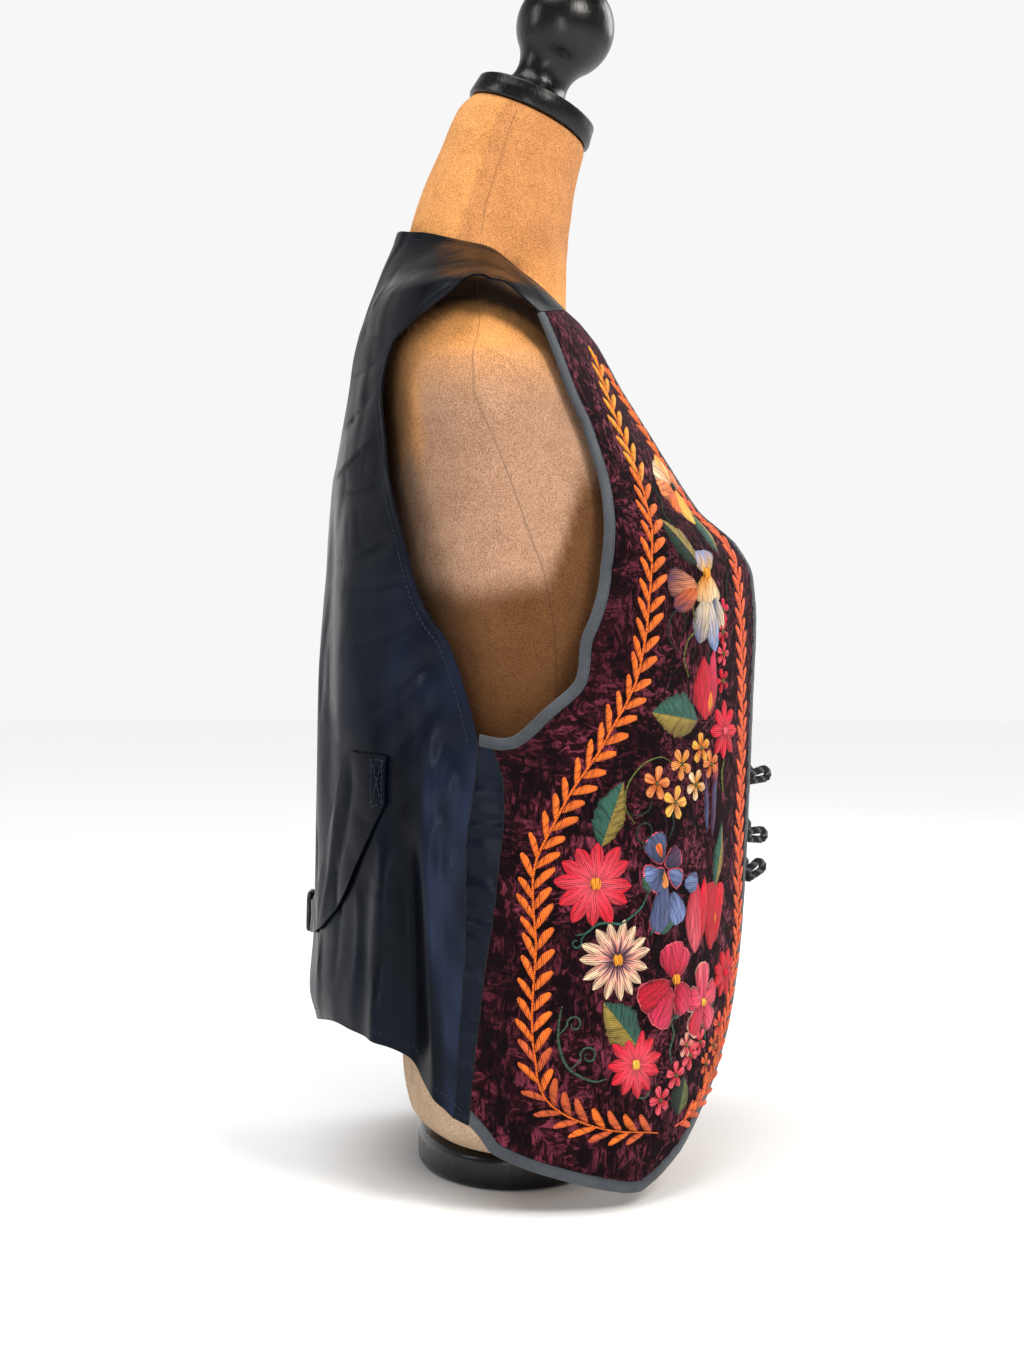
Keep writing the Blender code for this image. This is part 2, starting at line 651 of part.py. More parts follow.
def edgeFrame(height):
    """Point, normal, inward and upward directions on the front edge at a height."""
    path = trace(FRONT_EDGE, 120)
    i = min(range(len(path)), key=lambda k: abs(path[k].height - height))
    around, upward = slopes(*path[i])
    normal = upward.cross(around).normalized()
    return clothBase(*path[i]), normal, inwards(path)[i], tangentAt(path, i)


def buildLoop(name, height, tilt):
    """A cord loop that stands out from the right front edge."""
    point, normal, inward, upward = edgeFrame(height)
    forward = (Vector((0, -1, 0)) - inward * 0.6).normalized()
    upward = (upward - forward * upward.dot(forward)).normalized()
    lean = math.radians(tilt)
    out = forward * math.cos(lean) + upward * math.sin(lean)
    across = upward * math.cos(lean) - forward * math.sin(lean)
    root = LOOP_ROOT_GAP + (LOOP_WIDTH / 2 * 0.72 + CORD_RADIUS) * abs(math.sin(lean))
    start = point - normal * VELVET_WALL / 2 * MM + forward * root * MM
    half = LOOP_WIDTH / 2
    route = [(0, -half * 0.72), (LOOP_LENGTH * 0.3, -half * 0.8)]
    for i in range(9):
        angle = math.radians(-90 + 180 * i / 8)
        route.append((LOOP_LENGTH - half - CORD_RADIUS + half * math.cos(angle),
                      half * math.sin(angle)))
    route += [(LOOP_LENGTH * 0.3, half * 0.8), (0, half * 0.72)]
    curve = bpy.data.curves.new(name, "CURVE")
    curve.dimensions = "3D"
    curve.bevel_depth = CORD_RADIUS * MM
    curve.bevel_resolution = 2
    curve.use_fill_caps = True
    spline = curve.splines.new("POLY")
    spline.points.add(len(route) - 1)
    for target, (along, aside) in zip(spline.points, route):
        target.co = (*(start + (out * along + across * aside) * MM), 1)
    material = bpy.data.materials.new(CORD[0])
    material.use_nodes = True
    shader = material.node_tree.nodes["Principled BSDF"]
    shader.inputs["Base Color"].default_value = (*CORD[1], 1)
    shader.inputs["Roughness"].default_value = CORD[2]
    curve.materials.append(material)
    vest.objects.link(bpy.data.objects.new(name, curve))


def buildButton(name, height):
    """A small covered ball on a shank, seated on the left front's binding."""
    point, normal, inward, _ = edgeFrame(height)
    seat = point + (inward * BINDING_WIDTH / 2 + normal * BUTTON_SEAT) * MM
    ballHeight = 2.4 + BUTTON_RADIUS
    profile = [(0, ballHeight + BUTTON_RADIUS), *arc((0, ballHeight), BUTTON_RADIUS, 66, -60, 5),
               (2.2, 1.4), (2.4, 0), (0, 0)]
    button = turned(name, profile, 12, CORD)
    place = mirrored(seat, True)
    facing = mirrored(normal, True)
    button.matrix_world = Matrix.Translation(place) @ facing.to_track_quat("Z", "Y").to_matrix().to_4x4()


def buildBelt(side, left):
    """One half of the back belt: sewn on at the side, drooping to the buckle."""
    rows = rowsBetween(trace(BELT_UPPER, BELT_STEPS), trace(BELT_LOWER, BELT_STEPS), 3)
    wall("belt_" + side, rows, BELT_THICKNESS, SATIN, left,
         BELT_GAP + BELT_THICKNESS)


def buildBuckle():
    """A small slide buckle over the place where the two belt halves meet."""
    rise = BELT_GAP + BELT_THICKNESS + BELT_GAP + BUCKLE_THICKNESS / 2
    bpy.ops.mesh.primitive_cube_add(size=1)
    cube = bpy.context.object
    mesh = cube.data
    bpy.data.objects.remove(cube)
    mesh.transform(Matrix.Diagonal((2 * BUCKLE_HALF_LENGTH * MM, BUCKLE_THICKNESS * MM,
                                    2 * BUCKLE_HALF_HEIGHT * MM, 1)))
    buckle = addObject("belt_buckle", mesh, BLACK_METAL)
    buckle.location = clothPoint(180, BELT_CENTRE_HEIGHT, rise)
    bevel = buckle.modifiers.new("Round", "BEVEL")
    bevel.width = 1 * MM
    bevel.segments = 2


def main():
    for item in list(bpy.data.objects):
        bpy.data.objects.remove(item)
    bpy.context.scene.collection.children.link(vest)
    buildForm()
    buildFoot()
    buildNeckPieces()
    buildBack()
    for side, left in (("right", False), ("left", True)):
        buildFront(side, left)
        buildSideStrip(side, left)
        buildBindings(side, left)
        buildBelt(side, left)
    buildBuckle()
    for place, height, tilt in LOOPS:
        buildLoop("loop_" + place, height, tilt)
        buildButton("button_" + place, height)


main()
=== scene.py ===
import math
import random

import bmesh
import bpy
import numpy as np
from mathutils import Matrix, Vector


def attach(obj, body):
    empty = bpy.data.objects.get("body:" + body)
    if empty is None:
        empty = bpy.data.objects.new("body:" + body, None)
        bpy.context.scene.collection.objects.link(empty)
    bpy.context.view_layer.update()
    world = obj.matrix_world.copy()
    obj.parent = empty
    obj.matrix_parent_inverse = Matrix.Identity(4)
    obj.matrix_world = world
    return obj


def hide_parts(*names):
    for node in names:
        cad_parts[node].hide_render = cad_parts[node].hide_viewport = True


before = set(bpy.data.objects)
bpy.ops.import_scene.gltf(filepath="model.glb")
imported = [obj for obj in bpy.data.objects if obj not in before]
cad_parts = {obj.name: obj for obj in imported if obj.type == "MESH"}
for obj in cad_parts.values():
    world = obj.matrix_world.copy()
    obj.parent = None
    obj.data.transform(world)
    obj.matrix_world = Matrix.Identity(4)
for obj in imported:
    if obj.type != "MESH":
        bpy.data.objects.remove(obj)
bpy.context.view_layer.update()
mm = 0.001
print("frame loaded")


class Sock:
    # a node's output; arithmetic on it adds Math nodes
    def __init__(self, shade, socket):
        self.shade, self.socket = shade, socket

    def calc(self, operation, *others):
        return self.shade.node("ShaderNodeMath", {"operation": operation}, dict(enumerate((self, *others))))

    def __add__(self, other):
        return self.calc("ADD", other)

    def __mul__(self, other):
        return self.calc("MULTIPLY", other)

    def __sub__(self, other):
        return self.calc("SUBTRACT", other)

    def __rsub__(self, other):
        return self * -1 + other

    __radd__, __rmul__ = __add__, __mul__

    def clamped(self):
        return self.calc("MAXIMUM", 0.0).calc("MINIMUM", 1.0)

    def ridges(self):
        # waves from 0 to 1 along a value in radians
        return self.calc("SINE") * 0.5 + 0.5

    def between(self, low, high):
        # 0 below low, 1 above high
        return self.shade.node("ShaderNodeMapRange", {"interpolation_type": "SMOOTHSTEP"},
                               {"Value": self, "From Min": low, "From Max": high})


class Shade:
    # the nodes of a material or of the world
    def __init__(self, owner):
        owner.use_nodes = True
        self.owner, self.tree = owner, owner.node_tree

    def put(self, target, value):
        if isinstance(value, Sock):
            self.tree.links.new(value.socket, target)
        else:
            target.default_value = value

    def node(self, kind, settings=None, inputs=None, output=0):
        made = self.tree.nodes.new(kind)
        for name, value in (settings or {}).items():
            if name == "stops":
                ramp = made.color_ramp
                while len(ramp.elements) < len(value):
                    ramp.elements.new(0.5)
                for element, (place, colour) in zip(ramp.elements, value):
                    element.position, element.color = place, (*colour, 1)
            else:
                setattr(made, name, value)
        for name, value in (inputs or {}).items():
            self.put(made.inputs[name], value)
        return Sock(self, made.outputs[output])

    def place(self, stretch=(1, 1, 1)):
        # the point on the object, in metres, stretched
        where = self.node("ShaderNodeTexCoord", output="Object")
        return self.node("ShaderNodeMapping", inputs={"Vector": where, "Scale": stretch})

    def painted(self):
        # the colour that the mesh's points carry: thread dyes, and the painted light and shade of the satin
        # and the form
        return self.node("ShaderNodeAttribute", {"attribute_name": "thread"})

    def part(self, vector, axis):
        return self.node("ShaderNodeSeparateXYZ", inputs={"Vector": vector}, output="XYZ".index(axis))

    def noise(self, scale, where=(1, 1, 1), detail=2.0, rough=0.5, warp=0.0):
        where = where if isinstance(where, Sock) else self.place(where)
        return self.node("ShaderNodeTexNoise", {"noise_dimensions": "3D"},
                         {"Vector": where, "Scale": scale, "Detail": detail, "Roughness": rough,
                          "Distortion": warp})

    def wrinkles(self, width, *noise):
        # 0 along thin lines that wander through a noise, 1 away from them
        return (self.noise(*noise) - 0.5).calc("ABSOLUTE").between(0.0, width)

    def mix(self, share, first, second, blend="MIX"):
        return self.node("ShaderNodeMix", {"data_type": "RGBA", "blend_type": blend},
                         {0: share, 6: first, 7: second}, 2)

    def tinted(self, colour, tint):
        return self.mix(1.0, colour, tint, "MULTIPLY")

    def ramp(self, share, *stops):
        return self.node("ShaderNodeValToRGB", {"stops": stops}, {"Fac": share})

    def bump(self, height, depth, strength=1.0, under=None):
        inputs = {"Height": height, "Distance": depth, "Strength": strength}
        if under:
            inputs["Normal"] = under
        return self.node("ShaderNodeBump", inputs=inputs)

    def finish(self, colour, rough, normal=None, **fixed):
        main = self.tree.nodes["Principled BSDF"]
        self.put(main.inputs["Base Color"], colour)
        self.put(main.inputs["Roughness"], rough)
        if normal:
            self.put(main.inputs["Normal"], normal)
        for name, value in fixed.items():
            main.inputs[name.replace("_", " ")].default_value = value
        return self.owner


def newShade(name):
    return Shade(bpy.data.materials.new(name))


def rgb(*values):
    return (*values, 1)


# A spot on the vest is a turn in degrees round the body, from centre front over the wearer's
# right side to centre back (180), and a height in millimetres.
clothRows = {
    "columns": "height centre side front back frontPower backPower",
    "rows": [
        (-20, 0, 144, 124, 109, 1.6, 2.4), (40, 0, 150, 134, 113, 1.6, 2.4),
        (83, 0, 152, 139, 114, 1.6, 2.4), (106, 0, 152, 141.5, 119.5, 1.6, 2.4),
        (140, 0, 153, 144.5, 117, 1.6, 2.4), (225, 0, 155, 148.5, 115.3, 1.6, 2.4),
        (285, 0, 156, 151, 114.2, 1.6, 2.4), (325, 1, 157, 153.5, 110.5, 1.6, 2.4),
        (345, 2, 157, 152.5, 107.7, 1.62, 2.4), (362, 3, 157, 144, 105.3, 1.65, 2.4),
        (381, 4, 157, 121, 102.8, 1.75, 2.4), (400, 6, 157, 108.5, 99, 1.85, 2.4),
        (424, 8, 157, 94, 93, 1.95, 2.4), (452, 12, 157, 79.5, 84.3, 2, 2.3),
        (471, 14.5, 155, 71.5, 79.4, 2, 2.2), (484, 16, 153, 62.4, 75, 2, 2.1),
        (494, 17, 148, 52, 71, 2, 2), (508.2, 18, 117, 40, 65.7, 2, 2),
        (518, 18, 98, 28, 62.3, 2, 2), (528, 18, 78, 20, 58.5, 2, 2),
        (538, 18, 58, 14, 53.8, 2, 2), (551, 18, 40, 10, 47, 2, 2)]}
formRows = {
    "columns": "height centre side front back",
    "rows": [
        (20.3, -5, 90, 52, 46), (24, -5, 103, 63, 55), (36, -5, 122, 79, 66),
        (60, -5, 135, 87, 70), (95, -5, 138, 88, 71), (160, -5, 122, 82, 64),
        (215, -3, 125, 90, 62), (270, 0, 137, 110, 66), (310, 0, 145, 120, 70),
        (350, 2, 148, 114, 72), (390, 5, 150, 99, 72), (430, 9, 151, 80, 68),
        (460, 13, 147, 65, 65), (480, 16, 140, 54, 61), (495, 17, 128, 44, 56),
        (505, 18, 116, 35.5, 50), (515, 18, 98, 24.5, 43), (525, 18, 78, 17, 35),
        (535, 18, 58, 12, 25), (545, 18, 36, 8, 14)]}
neckRows = {
    "columns": "height centre side front back lean",
    "rows": [
        (480, 15, 52, 52, 50, 0), (505, 15, 52, 50, 50, 0), (530, 15.5, 50, 49, 49.5, 1),
        (548, 13.5, 48, 47, 48, 4), (568, 8.5, 44, 44, 46, 8), (590, 1.5, 41, 39.5, 41.5, 15),
        (612, -5.4, 39.5, 37.2, 37.2, 21), (618, -9.3, 37, 33.5, 33.5, 24.4)]}
collar = {"side": 54, "front": 53, "back": 46, "power": 8}
folds = {
    "fade": 0.24,          # share of a fold's length over which each end runs out
    "calmTurn": 102.5,     # no fold reaches further forward than this
    "calmSpan": 4,
    "rows": [   # top turn, top height, low turn, low height, width in degrees, rise
        (113.2, 216, 111.6, 10, 3.9, -9.0), (118.6, 214, 122.5, 10, 2.6, 4.2),
        (108.6, 214, 103.5, 10, 2.4, 4.4), (108.5, 300, 106.0, 150, 2.8, 2.4),
        (246.4, 214, 248.2, 10, 2.5, -8.0), (241.8, 210, 240.5, 10, 2.5, 2.6),
        (250.4, 214, 255.5, 10, 2.6, 2.8), (152.0, 400, 140.0, 190, 5.5, -2.4),
        (206.0, 410, 218.0, 185, 6.0, -2.2)]}


def column(table, name):
    rows = table["rows"]
    place = table["columns"].split().index(name)
    return np.array([row[0] for row in rows], float), np.array([row[place] for row in rows], float)


def lookUp(table, name, height):
    # a column's value at each height, on a smooth curve that never overshoots its rows
    heights, values = column(table, name)
    step = np.diff(heights)
    slope = np.diff(values) / step
    tangent = np.empty_like(values)
    tangent[0], tangent[-1] = slope[0], slope[-1]
    alike = slope[:-1] * slope[1:] > 0
    total = np.where(alike, slope[:-1] + slope[1:], 1)
    tangent[1:-1] = np.where(alike, 2 * slope[:-1] * slope[1:] / total, 0)
    query = np.clip(height, heights[0], heights[-1])
    i = np.clip(np.searchsorted(heights, query, side="right") - 1, 0, len(step) - 1)
    t = (query - heights[i]) / step[i]
    return (values[i] * (1 + 2 * t) * (1 - t) ** 2 + values[i + 1] * t * t * (3 - 2 * t)
            + step[i] * (tangent[i] * t * (1 - t) ** 2 - tangent[i + 1] * t * t * (1 - t)))


def ovalRadius(angle, side, front, back, frontPower=2.0, backPower=2.0):
    across, along = np.abs(np.sin(angle)), np.cos(angle)
    depth = np.where(along > 0, front, back)
    power = 2 + (np.where(along > 0, frontPower, backPower) - 2) * along ** 2
    return ((across / side) ** power + (np.abs(along) / depth) ** power) ** (-1 / power)


def merged(first, second):
    power = collar["power"]
    return (first ** power + second ** power) ** (1 / power)


def eased(t):
    t = np.clip(t, 0, 1)
    return t * t * (3 - 2 * t)


def rising(value, start, span):
    # 0 up to the start, 1 from a span beyond it
    return eased((value - start) / span)


def falling(value, end, span):
    # 1 up to a span before the end, 0 from the end on
    return eased((end - value) / span)


def faded(along, start, end):
    # 1 along a line, running out over a share of it at each end
    return eased(along / start) * eased((1 - along) / end)


def hump(value, middle, width):
    return np.exp(-((value - middle) / width) ** 2)


def nearSide(turn):
    # the same place on the wearer's right
    turn = np.mod(turn, 360)
    return np.minimum(turn, 360 - turn)


def foldRise(turn, height):
    total = 0
    for topTurn, topHeight, lowTurn, lowHeight, width, rise in folds["rows"]:
        along = (topHeight - height) / (topHeight - lowHeight)
        middle = topTurn + (lowTurn - topTurn) * along
        total = total + rise * faded(along, folds["fade"], folds["fade"]) * hump(turn, middle, width)
    return total * rising(nearSide(turn), folds["calmTurn"], folds["calmSpan"])


creases = {   # a row runs from one turn and height to another, with a width and a rise, negative in a trough
    "degree": 2.6,       # millimetres round the body in a degree of turn
    "depth": 1.5,        # times each row's rise
    "bow": 0.06,         # how far a crease bows, as a share of its length
    "sharpness": 1.3,
    "fade": (0.22, 0.4),
    "back": [
        (101.5, 262, 118, 205, 5, -1.5), (103, 280, 125, 228, 4, -1.1), (104, 300, 131, 262, 5, -1.3),
        (100.5, 248, 111, 180, 4, 1.0), (106, 318, 138, 300, 4, -0.9), (108, 338, 141, 338, 5, -1.0),
        (112, 362, 150, 352, 5, -1.1), (115, 392, 143, 392, 4, -0.8), (117, 420, 152, 398, 5, 1.0),
        (118, 446, 149, 428, 5, -1.0), (114, 462, 152, 462, 4, -0.8), (110, 470, 139, 488, 4, -0.7),
        (128, 246, 139, 160, 4, -1.1), (134, 226, 148, 132, 4, 0.9), (121, 200, 124, 92, 4, -0.9),
        (127, 176, 130, 100, 3.5, 0.8), (136, 190, 139, 104, 4, -0.9), (146, 172, 151, 100, 4, 0.7),
        (158, 210, 160, 108, 5, -0.8), (150, 300, 162, 240, 5, -0.7), (165, 420, 173, 330, 6, 0.6),
        (160, 505, 172, 448, 5, -0.8), (137, 505, 151, 470, 4, -0.7), (125, 512, 131, 486, 4, 0.6),
        (99.6, 234, 109, 226, 1.9, 0.75), (100, 213, 111, 218, 1.8, -0.8), (99.8, 192, 107, 178, 1.9, 0.7),
        (99.6, 161, 106, 150, 1.8, -0.65), (100, 130, 107, 113, 1.9, 0.6), (103.6, 246, 105, 158, 2.1, 0.9)],
    "front": [
        (87, 250, 66, 236, 5, -0.7), (84, 262, 60, 268, 4, 0.6), (78, 286, 60, 305, 5, -0.6),
        (92, 215, 78, 150, 6, 0.7), (94, 170, 86, 96, 5, -0.7), (93, 120, 84, 60, 5, 0.6),
        (74, 340, 55, 352, 5, -0.5), (70, 392, 56, 408, 5, 0.5), (60, 120, 48, 60, 7, 0.6),
        (42, 300, 30, 240, 6, -0.6), (38, 215, 28, 150, 6, 0.5), (50, 250, 44, 170, 7, -0.5)]}


def creaseRise(turn, height):
    total = 0
    x, left = nearSide(turn) * creases["degree"], turn > 180
    for startTurn, startHeight, endTurn, endHeight, width, rise in creases["back"] + creases["front"]:
        # the left side has like creases, a little moved and unlike in depth
        shift = np.where(left, startHeight % 7 * 2 - 3, 0)
        depth = np.where(left, 0.65 + startHeight % 5 * 0.12, 1) * creases["depth"]
        y = height - startHeight - shift
        dx, dy = (endTurn - startTurn) * creases["degree"], endHeight - startHeight
        long = math.hypot(dx, dy)
        across = x - startTurn * creases["degree"]
        along = (across * dx + y * dy) / long ** 2
        away = (across * dy - y * dx) / long
        bow = long * creases["bow"] * np.sin(along * math.pi) * (1 if startHeight % 2 else -1)
        section = np.exp(-np.abs((away + bow) / width) ** creases["sharpness"])
        total = total + rise * depth * faded(along, *creases["fade"]) * section
    return total


def clothBase(turn, height):
    turn, height = np.asarray(turn, float), np.asarray(height, float)
    angle = np.radians(turn)
    centre, *oval = (lookUp(clothRows, name, height) for name in clothRows["columns"].split()[1:])
    radius = ovalRadius(angle, *oval)
    throat = ovalRadius(angle, collar["side"], collar["front"], collar["back"])
    radius = np.where(height > neckRows["rows"][0][0], merged(radius, throat), radius)
    radius = radius + foldRise(turn, height) + creaseRise(turn, height)
    return np.stack([-radius * np.sin(angle), centre - radius * np.cos(angle), height], -1) * mm


def slopes(turn, height, step=0.25):
    around = (clothBase(turn + step, height) - clothBase(turn - step, height)) / (2 * step)
    upward = (clothBase(turn, height + step) - clothBase(turn, height - step)) / (2 * step)
    return around, upward


def unit(vectors):
    return vectors / np.maximum(np.linalg.norm(vectors, axis=-1, keepdims=True), 1e-12)


def normalAt(turn, height):
    around, upward = slopes(turn, height)
    return unit(np.cross(upward, around))


def onCloth(spots, out=0.0):
    # points of the surface for spots, moved out by millimetres
    turn, height = spots[..., 0], spots[..., 1]
    out = np.broadcast_to(np.asarray(out, float), turn.shape)[..., None]
    return clothBase(turn, height) + normalAt(turn, height) * out * mm


def lengths(points, axis=0):
    # distance along a row or grid of points from its first, in millimetres
    steps = np.linalg.norm(np.diff(points, axis=axis), axis=-1) / mm
    start = np.zeros_like(np.take(steps, [0], axis))
    return np.concatenate([start, np.cumsum(steps, axis)], axis)


def readAt(goal, stations, rows):
    # rows of coordinates known at stations, read at other ones
    return np.stack([np.interp(goal, stations, rows[:, k]) for k in range(rows.shape[1])], -1)


def smoothed(rows, times):
    for _ in range(times):
        rows[1:-1] = (rows[:-2] + 2 * rows[1:-1] + rows[2:]) / 4
    return rows


def trace(spots, count):
    # spots evenly spaced along the smooth curve through an outline's spots
    spots = np.asarray(spots, float)
    padded = np.vstack([spots[:1], spots, spots[-1:]])
    a, b, c, d = (padded[i:len(spots) - 1 + i, None] for i in range(4))
    t = (np.arange(12) / 12)[None, :, None]
    fine = 0.5 * (2 * b + (c - a) * t + (2 * a - 5 * b + 4 * c - d) * t ** 2
                  + (3 * b - a - 3 * c + d) * t ** 3)
    fine = np.vstack([fine.reshape(-1, 2), spots[-1:]])
    stations = lengths(clothBase(*fine.T))
    return readAt(np.linspace(0, stations[-1], count + 1), stations, fine)


def tangents(path):
    points = clothBase(*path.T)
    padded = np.vstack([points[:1], points, points[-1:]])
    return unit(padded[2:] - padded[:-2])


def inwards(path, sign=1, first=None, last=None):
    # directions on the surface from a path to the cloth on its left, or right for sign -1
    result = unit(np.cross(normalAt(*path.T), tangents(path))) * sign
    for i, seam in ((0, first), (-1, last)):
        if seam is not None:
            result[i] = seam / seam.dot(result[i])
    return result


def moved(path, distance, sign=1, first=None, last=None):
    # the path shifted along the surface toward its cloth by millimetres
    spots = path.copy()
    goal = clothBase(*spots.T) + inwards(path, sign, first, last) * distance * mm
    for _ in range(4):
        around, upward = slopes(*spots.T)
        miss = goal - clothBase(*spots.T)
        aa, au, uu, ma, mu = (np.sum(p * q, -1) for p, q in (
            (around, around), (around, upward), (upward, upward), (miss, around), (miss, upward)))
        scale = aa * uu - au * au
        spots[:, 0] += (ma * uu - mu * au) / scale
        spots[:, 1] += (mu * aa - ma * au) / scale
    return spots


def direction(first, second):
    return unit(clothBase(*second) - clothBase(*first))


def rowsBetween(starts, ends, columns, bottom=None):
    # a grid of spots from one side curve to the other, its lower half bent to the hem
    across = np.linspace(0, 1, columns + 1)[None, :, None]
    rows = starts[:, None] + (ends - starts)[:, None] * across
    if bottom is not None:
        pull = np.clip(1 - np.arange(len(starts)) / (0.5 * (len(starts) - 1)), 0, 1)[:, None, None]
        rows = rows + pull * (bottom - rows[0])[None]
    return rows


def facing(spots, left):
    # the same spots on the wearer's left
    return np.stack([360 - spots[..., 0], spots[..., 1]], -1) if left else spots


def flipped(points, left):
    return points * (np.array([-1, 1, 1]) if left else 1)


def addObject(name, data):
    made = bpy.data.objects.new(name, data)
    bpy.context.scene.collection.objects.link(made)
    return made


def addPiece(name, points, faces, material, node, uv=None, colours=None):
    mesh = bpy.data.meshes.new(name)
    mesh.from_pydata([tuple(p) for p in points.reshape(-1, 3)], [], faces)
    if uv is not None:
        layer = mesh.uv_layers.new(name="UVMap")
        corner = np.zeros(len(mesh.loops), np.int32)
        mesh.loops.foreach_get("vertex_index", corner)
        layer.data.foreach_set("uv", np.asarray(uv, np.float32)[corner].ravel())
    if colours is not None:
        paint = mesh.color_attributes.new("thread", "FLOAT_COLOR", "POINT")
        full = np.concatenate([colours, np.ones((len(colours), 1))], 1).astype(np.float32)
        paint.data.foreach_set("color", full.ravel())
    shape = bmesh.new()
    shape.from_mesh(mesh)
    bmesh.ops.remove_doubles(shape, verts=shape.verts, dist=1e-7)
    bmesh.ops.recalc_face_normals(shape, faces=shape.faces)
    shape.to_mesh(mesh)
    shape.free()
    mesh.shade_smooth()
    mesh.set_sharp_from_angle(angle=math.radians(50))
    mesh.materials.append(material)
    piece = addObject(name, mesh)
    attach(piece, "root")
    if node:
        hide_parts(node)
    return piece


def gridFaces(tall, wide, start=0):
    i, j = np.meshgrid(np.arange(tall - 1), np.arange(wide - 1), indexing="ij")
    a = (start + i * wide + j).ravel()
    return [tuple(f) for f in np.stack([a, a + 1, a + wide + 1, a + wide], 1).tolist()]


def ringFaces(tall, wide, closed=False):
    # faces between rings of points, with flat ends where the last ring doesn't meet the first
    faces = []
    for i in range(tall if closed else tall - 1):
        k = (i + 1) % tall
        for j in range(wide):
            m = (j + 1) % wide
            faces.append((i * wide + j, i * wide + m, k * wide + m, k * wide + j))
    return faces if closed else faces + [tuple(range(wide)), tuple(range((tall - 1) * wide, tall * wide))]


def closedSheet(top, under, border):
    # points and faces of two layers of a grid, joined along its border
    tall, wide = top.shape[:2]
    layer = tall * wide
    faces = gridFaces(tall, wide) + gridFaces(tall, wide, layer)
    for (i, j), (k, m) in zip(border, border[1:]):
        a, b = i * wide + j, k * wide + m
        faces.append((a, b, b + layer, a + layer))
    return np.concatenate([top.reshape(-1, 3), under.reshape(-1, 3)]), faces


def shell(spots, outer, thickness):
    # points, faces and UVs in centimetres of a closed sheet on a grid of spots
    tall, wide = spots.shape[:2]
    top, under = onCloth(spots, outer), onCloth(spots, outer - thickness)
    border = [(0, j) for j in range(wide - 1)] + [(i, wide - 1) for i in range(tall - 1)]
    border += [(tall - 1, j) for j in range(wide - 1, 0, -1)] + [(i, 0) for i in range(tall - 1, -1, -1)]
    flat = np.stack([lengths(top, 1), lengths(top, 0)], -1).reshape(-1, 2) / 10
    return *closedSheet(top, under, border), np.concatenate([flat, flat])


def tube(centres, radii, steps, closed=False, aside=(0.31, 0.17, 0.93)):
    # points and faces of a round cord along a row of centres
    centres = np.asarray(centres, float)
    count = len(centres)
    if closed:
        along = unit(np.roll(centres, -1, 0) - np.roll(centres, 1, 0))
    else:
        along = unit(np.gradient(centres, axis=0))
    side = np.empty_like(along)
    last = np.array(aside)
    for i in range(count):
        last = last - along[i] * last.dot(along[i])
        last = last / np.linalg.norm(last)
        side[i] = last
    up = np.cross(along, side)
    angle = np.linspace(0, 2 * math.pi, steps, endpoint=False)[None, :, None]
    radii = np.broadcast_to(np.asarray(radii, float), (count,))[:, None, None]
    points = centres[:, None] + radii * (np.cos(angle) * side[:, None] + np.sin(angle) * up[:, None])
    return points.reshape(-1, 3), ringFaces(count, steps, closed)


class Heap:
    # gathers many small shapes into one mesh
    def __init__(self):
        self.points, self.faces, self.uv, self.colours, self.count = [], [], [], [], 0

    def add(self, points, faces, uv=None, colours=(1, 1, 1)):
        # colours are one for each point, or one for all
        points = np.asarray(points, float).reshape(-1, 3)
        self.faces += [tuple(i + self.count for i in face) for face in faces]
        self.points.append(points)
        self.uv.append(np.zeros((len(points), 2)) if uv is None else uv.reshape(-1, 2))
        self.colours.append(np.broadcast_to(np.reshape(colours, (-1, 3)), (len(points), 3)))
        self.count += len(points)

    def piece(self, name, material, slot, node=None):
        return addPiece(name, np.concatenate(self.points), self.faces, material, node,
                        np.concatenate(self.uv), np.concatenate(self.colours))


# the high colour is a painted shade, laid over the satin toward the shoulders between two heights
satinLook = {"dark": (0.0015, 0.0018, 0.0032), "pale": (0.0042, 0.0062, 0.0146),
             "gleam": rgb(0.78, 0.88, 1.0), "high": rgb(0.0011, 0.0011, 0.0013),
             "shoulderShadeFrom": 0.27, "shoulderShadeTo": 0.44}      # metres over the floor


def makeSatin():
    # navy black, with a painted shade that makes it blacker toward the shoulders
    s = newShade("blackSatin")
    cloudy = s.noise(20, (1, 1, 0.5), 3.0, 0.55, 0.5)
    grain = s.noise(900, (1, 1, 0.35))
    colour = s.ramp(cloudy * 0.85 + grain * 0.15, (0.30, satinLook["dark"]), (0.70, satinLook["pale"]))
    # painted shade: blacker toward the shoulders, between two heights in metres; the mesh's colour then adds
    # the painted sheen and shade at the folds
    high = s.part(s.place(), "Z").between(satinLook["shoulderShadeFrom"], satinLook["shoulderShadeTo"])
    colour = s.tinted(s.mix(high * 0.75, colour, satinLook["high"]), s.painted())
    crease = s.wrinkles(0.2, 15, (1, 1, 0.45), 1.0, 0.4, 0.7)
    ruck = s.wrinkles(0.2, 34, (1, 1, 0.8), 1.0, 0.4, 0.5)
    normal = s.bump(grain, 0.00004, 0.4, s.bump(crease + ruck * 0.14, 0.0019, 0.7))
    return s.finish(colour, cloudy.between(0.36, 0.62) * 0.18 + 0.24, normal, Specular_IOR_Level=0.12,
                    Specular_Tint=satinLook["gleam"], Anisotropic=0.3)


# the lit and glint colours are a painted highlight on the crushed pile
velvetLook = {"dark": (0.0032, 0.0005, 0.0014), "lit": (0.022, 0.0028, 0.0068),
              "paintedGlint": rgb(0.185, 0.027, 0.050), "sheen": rgb(0.8, 0.34, 0.44)}


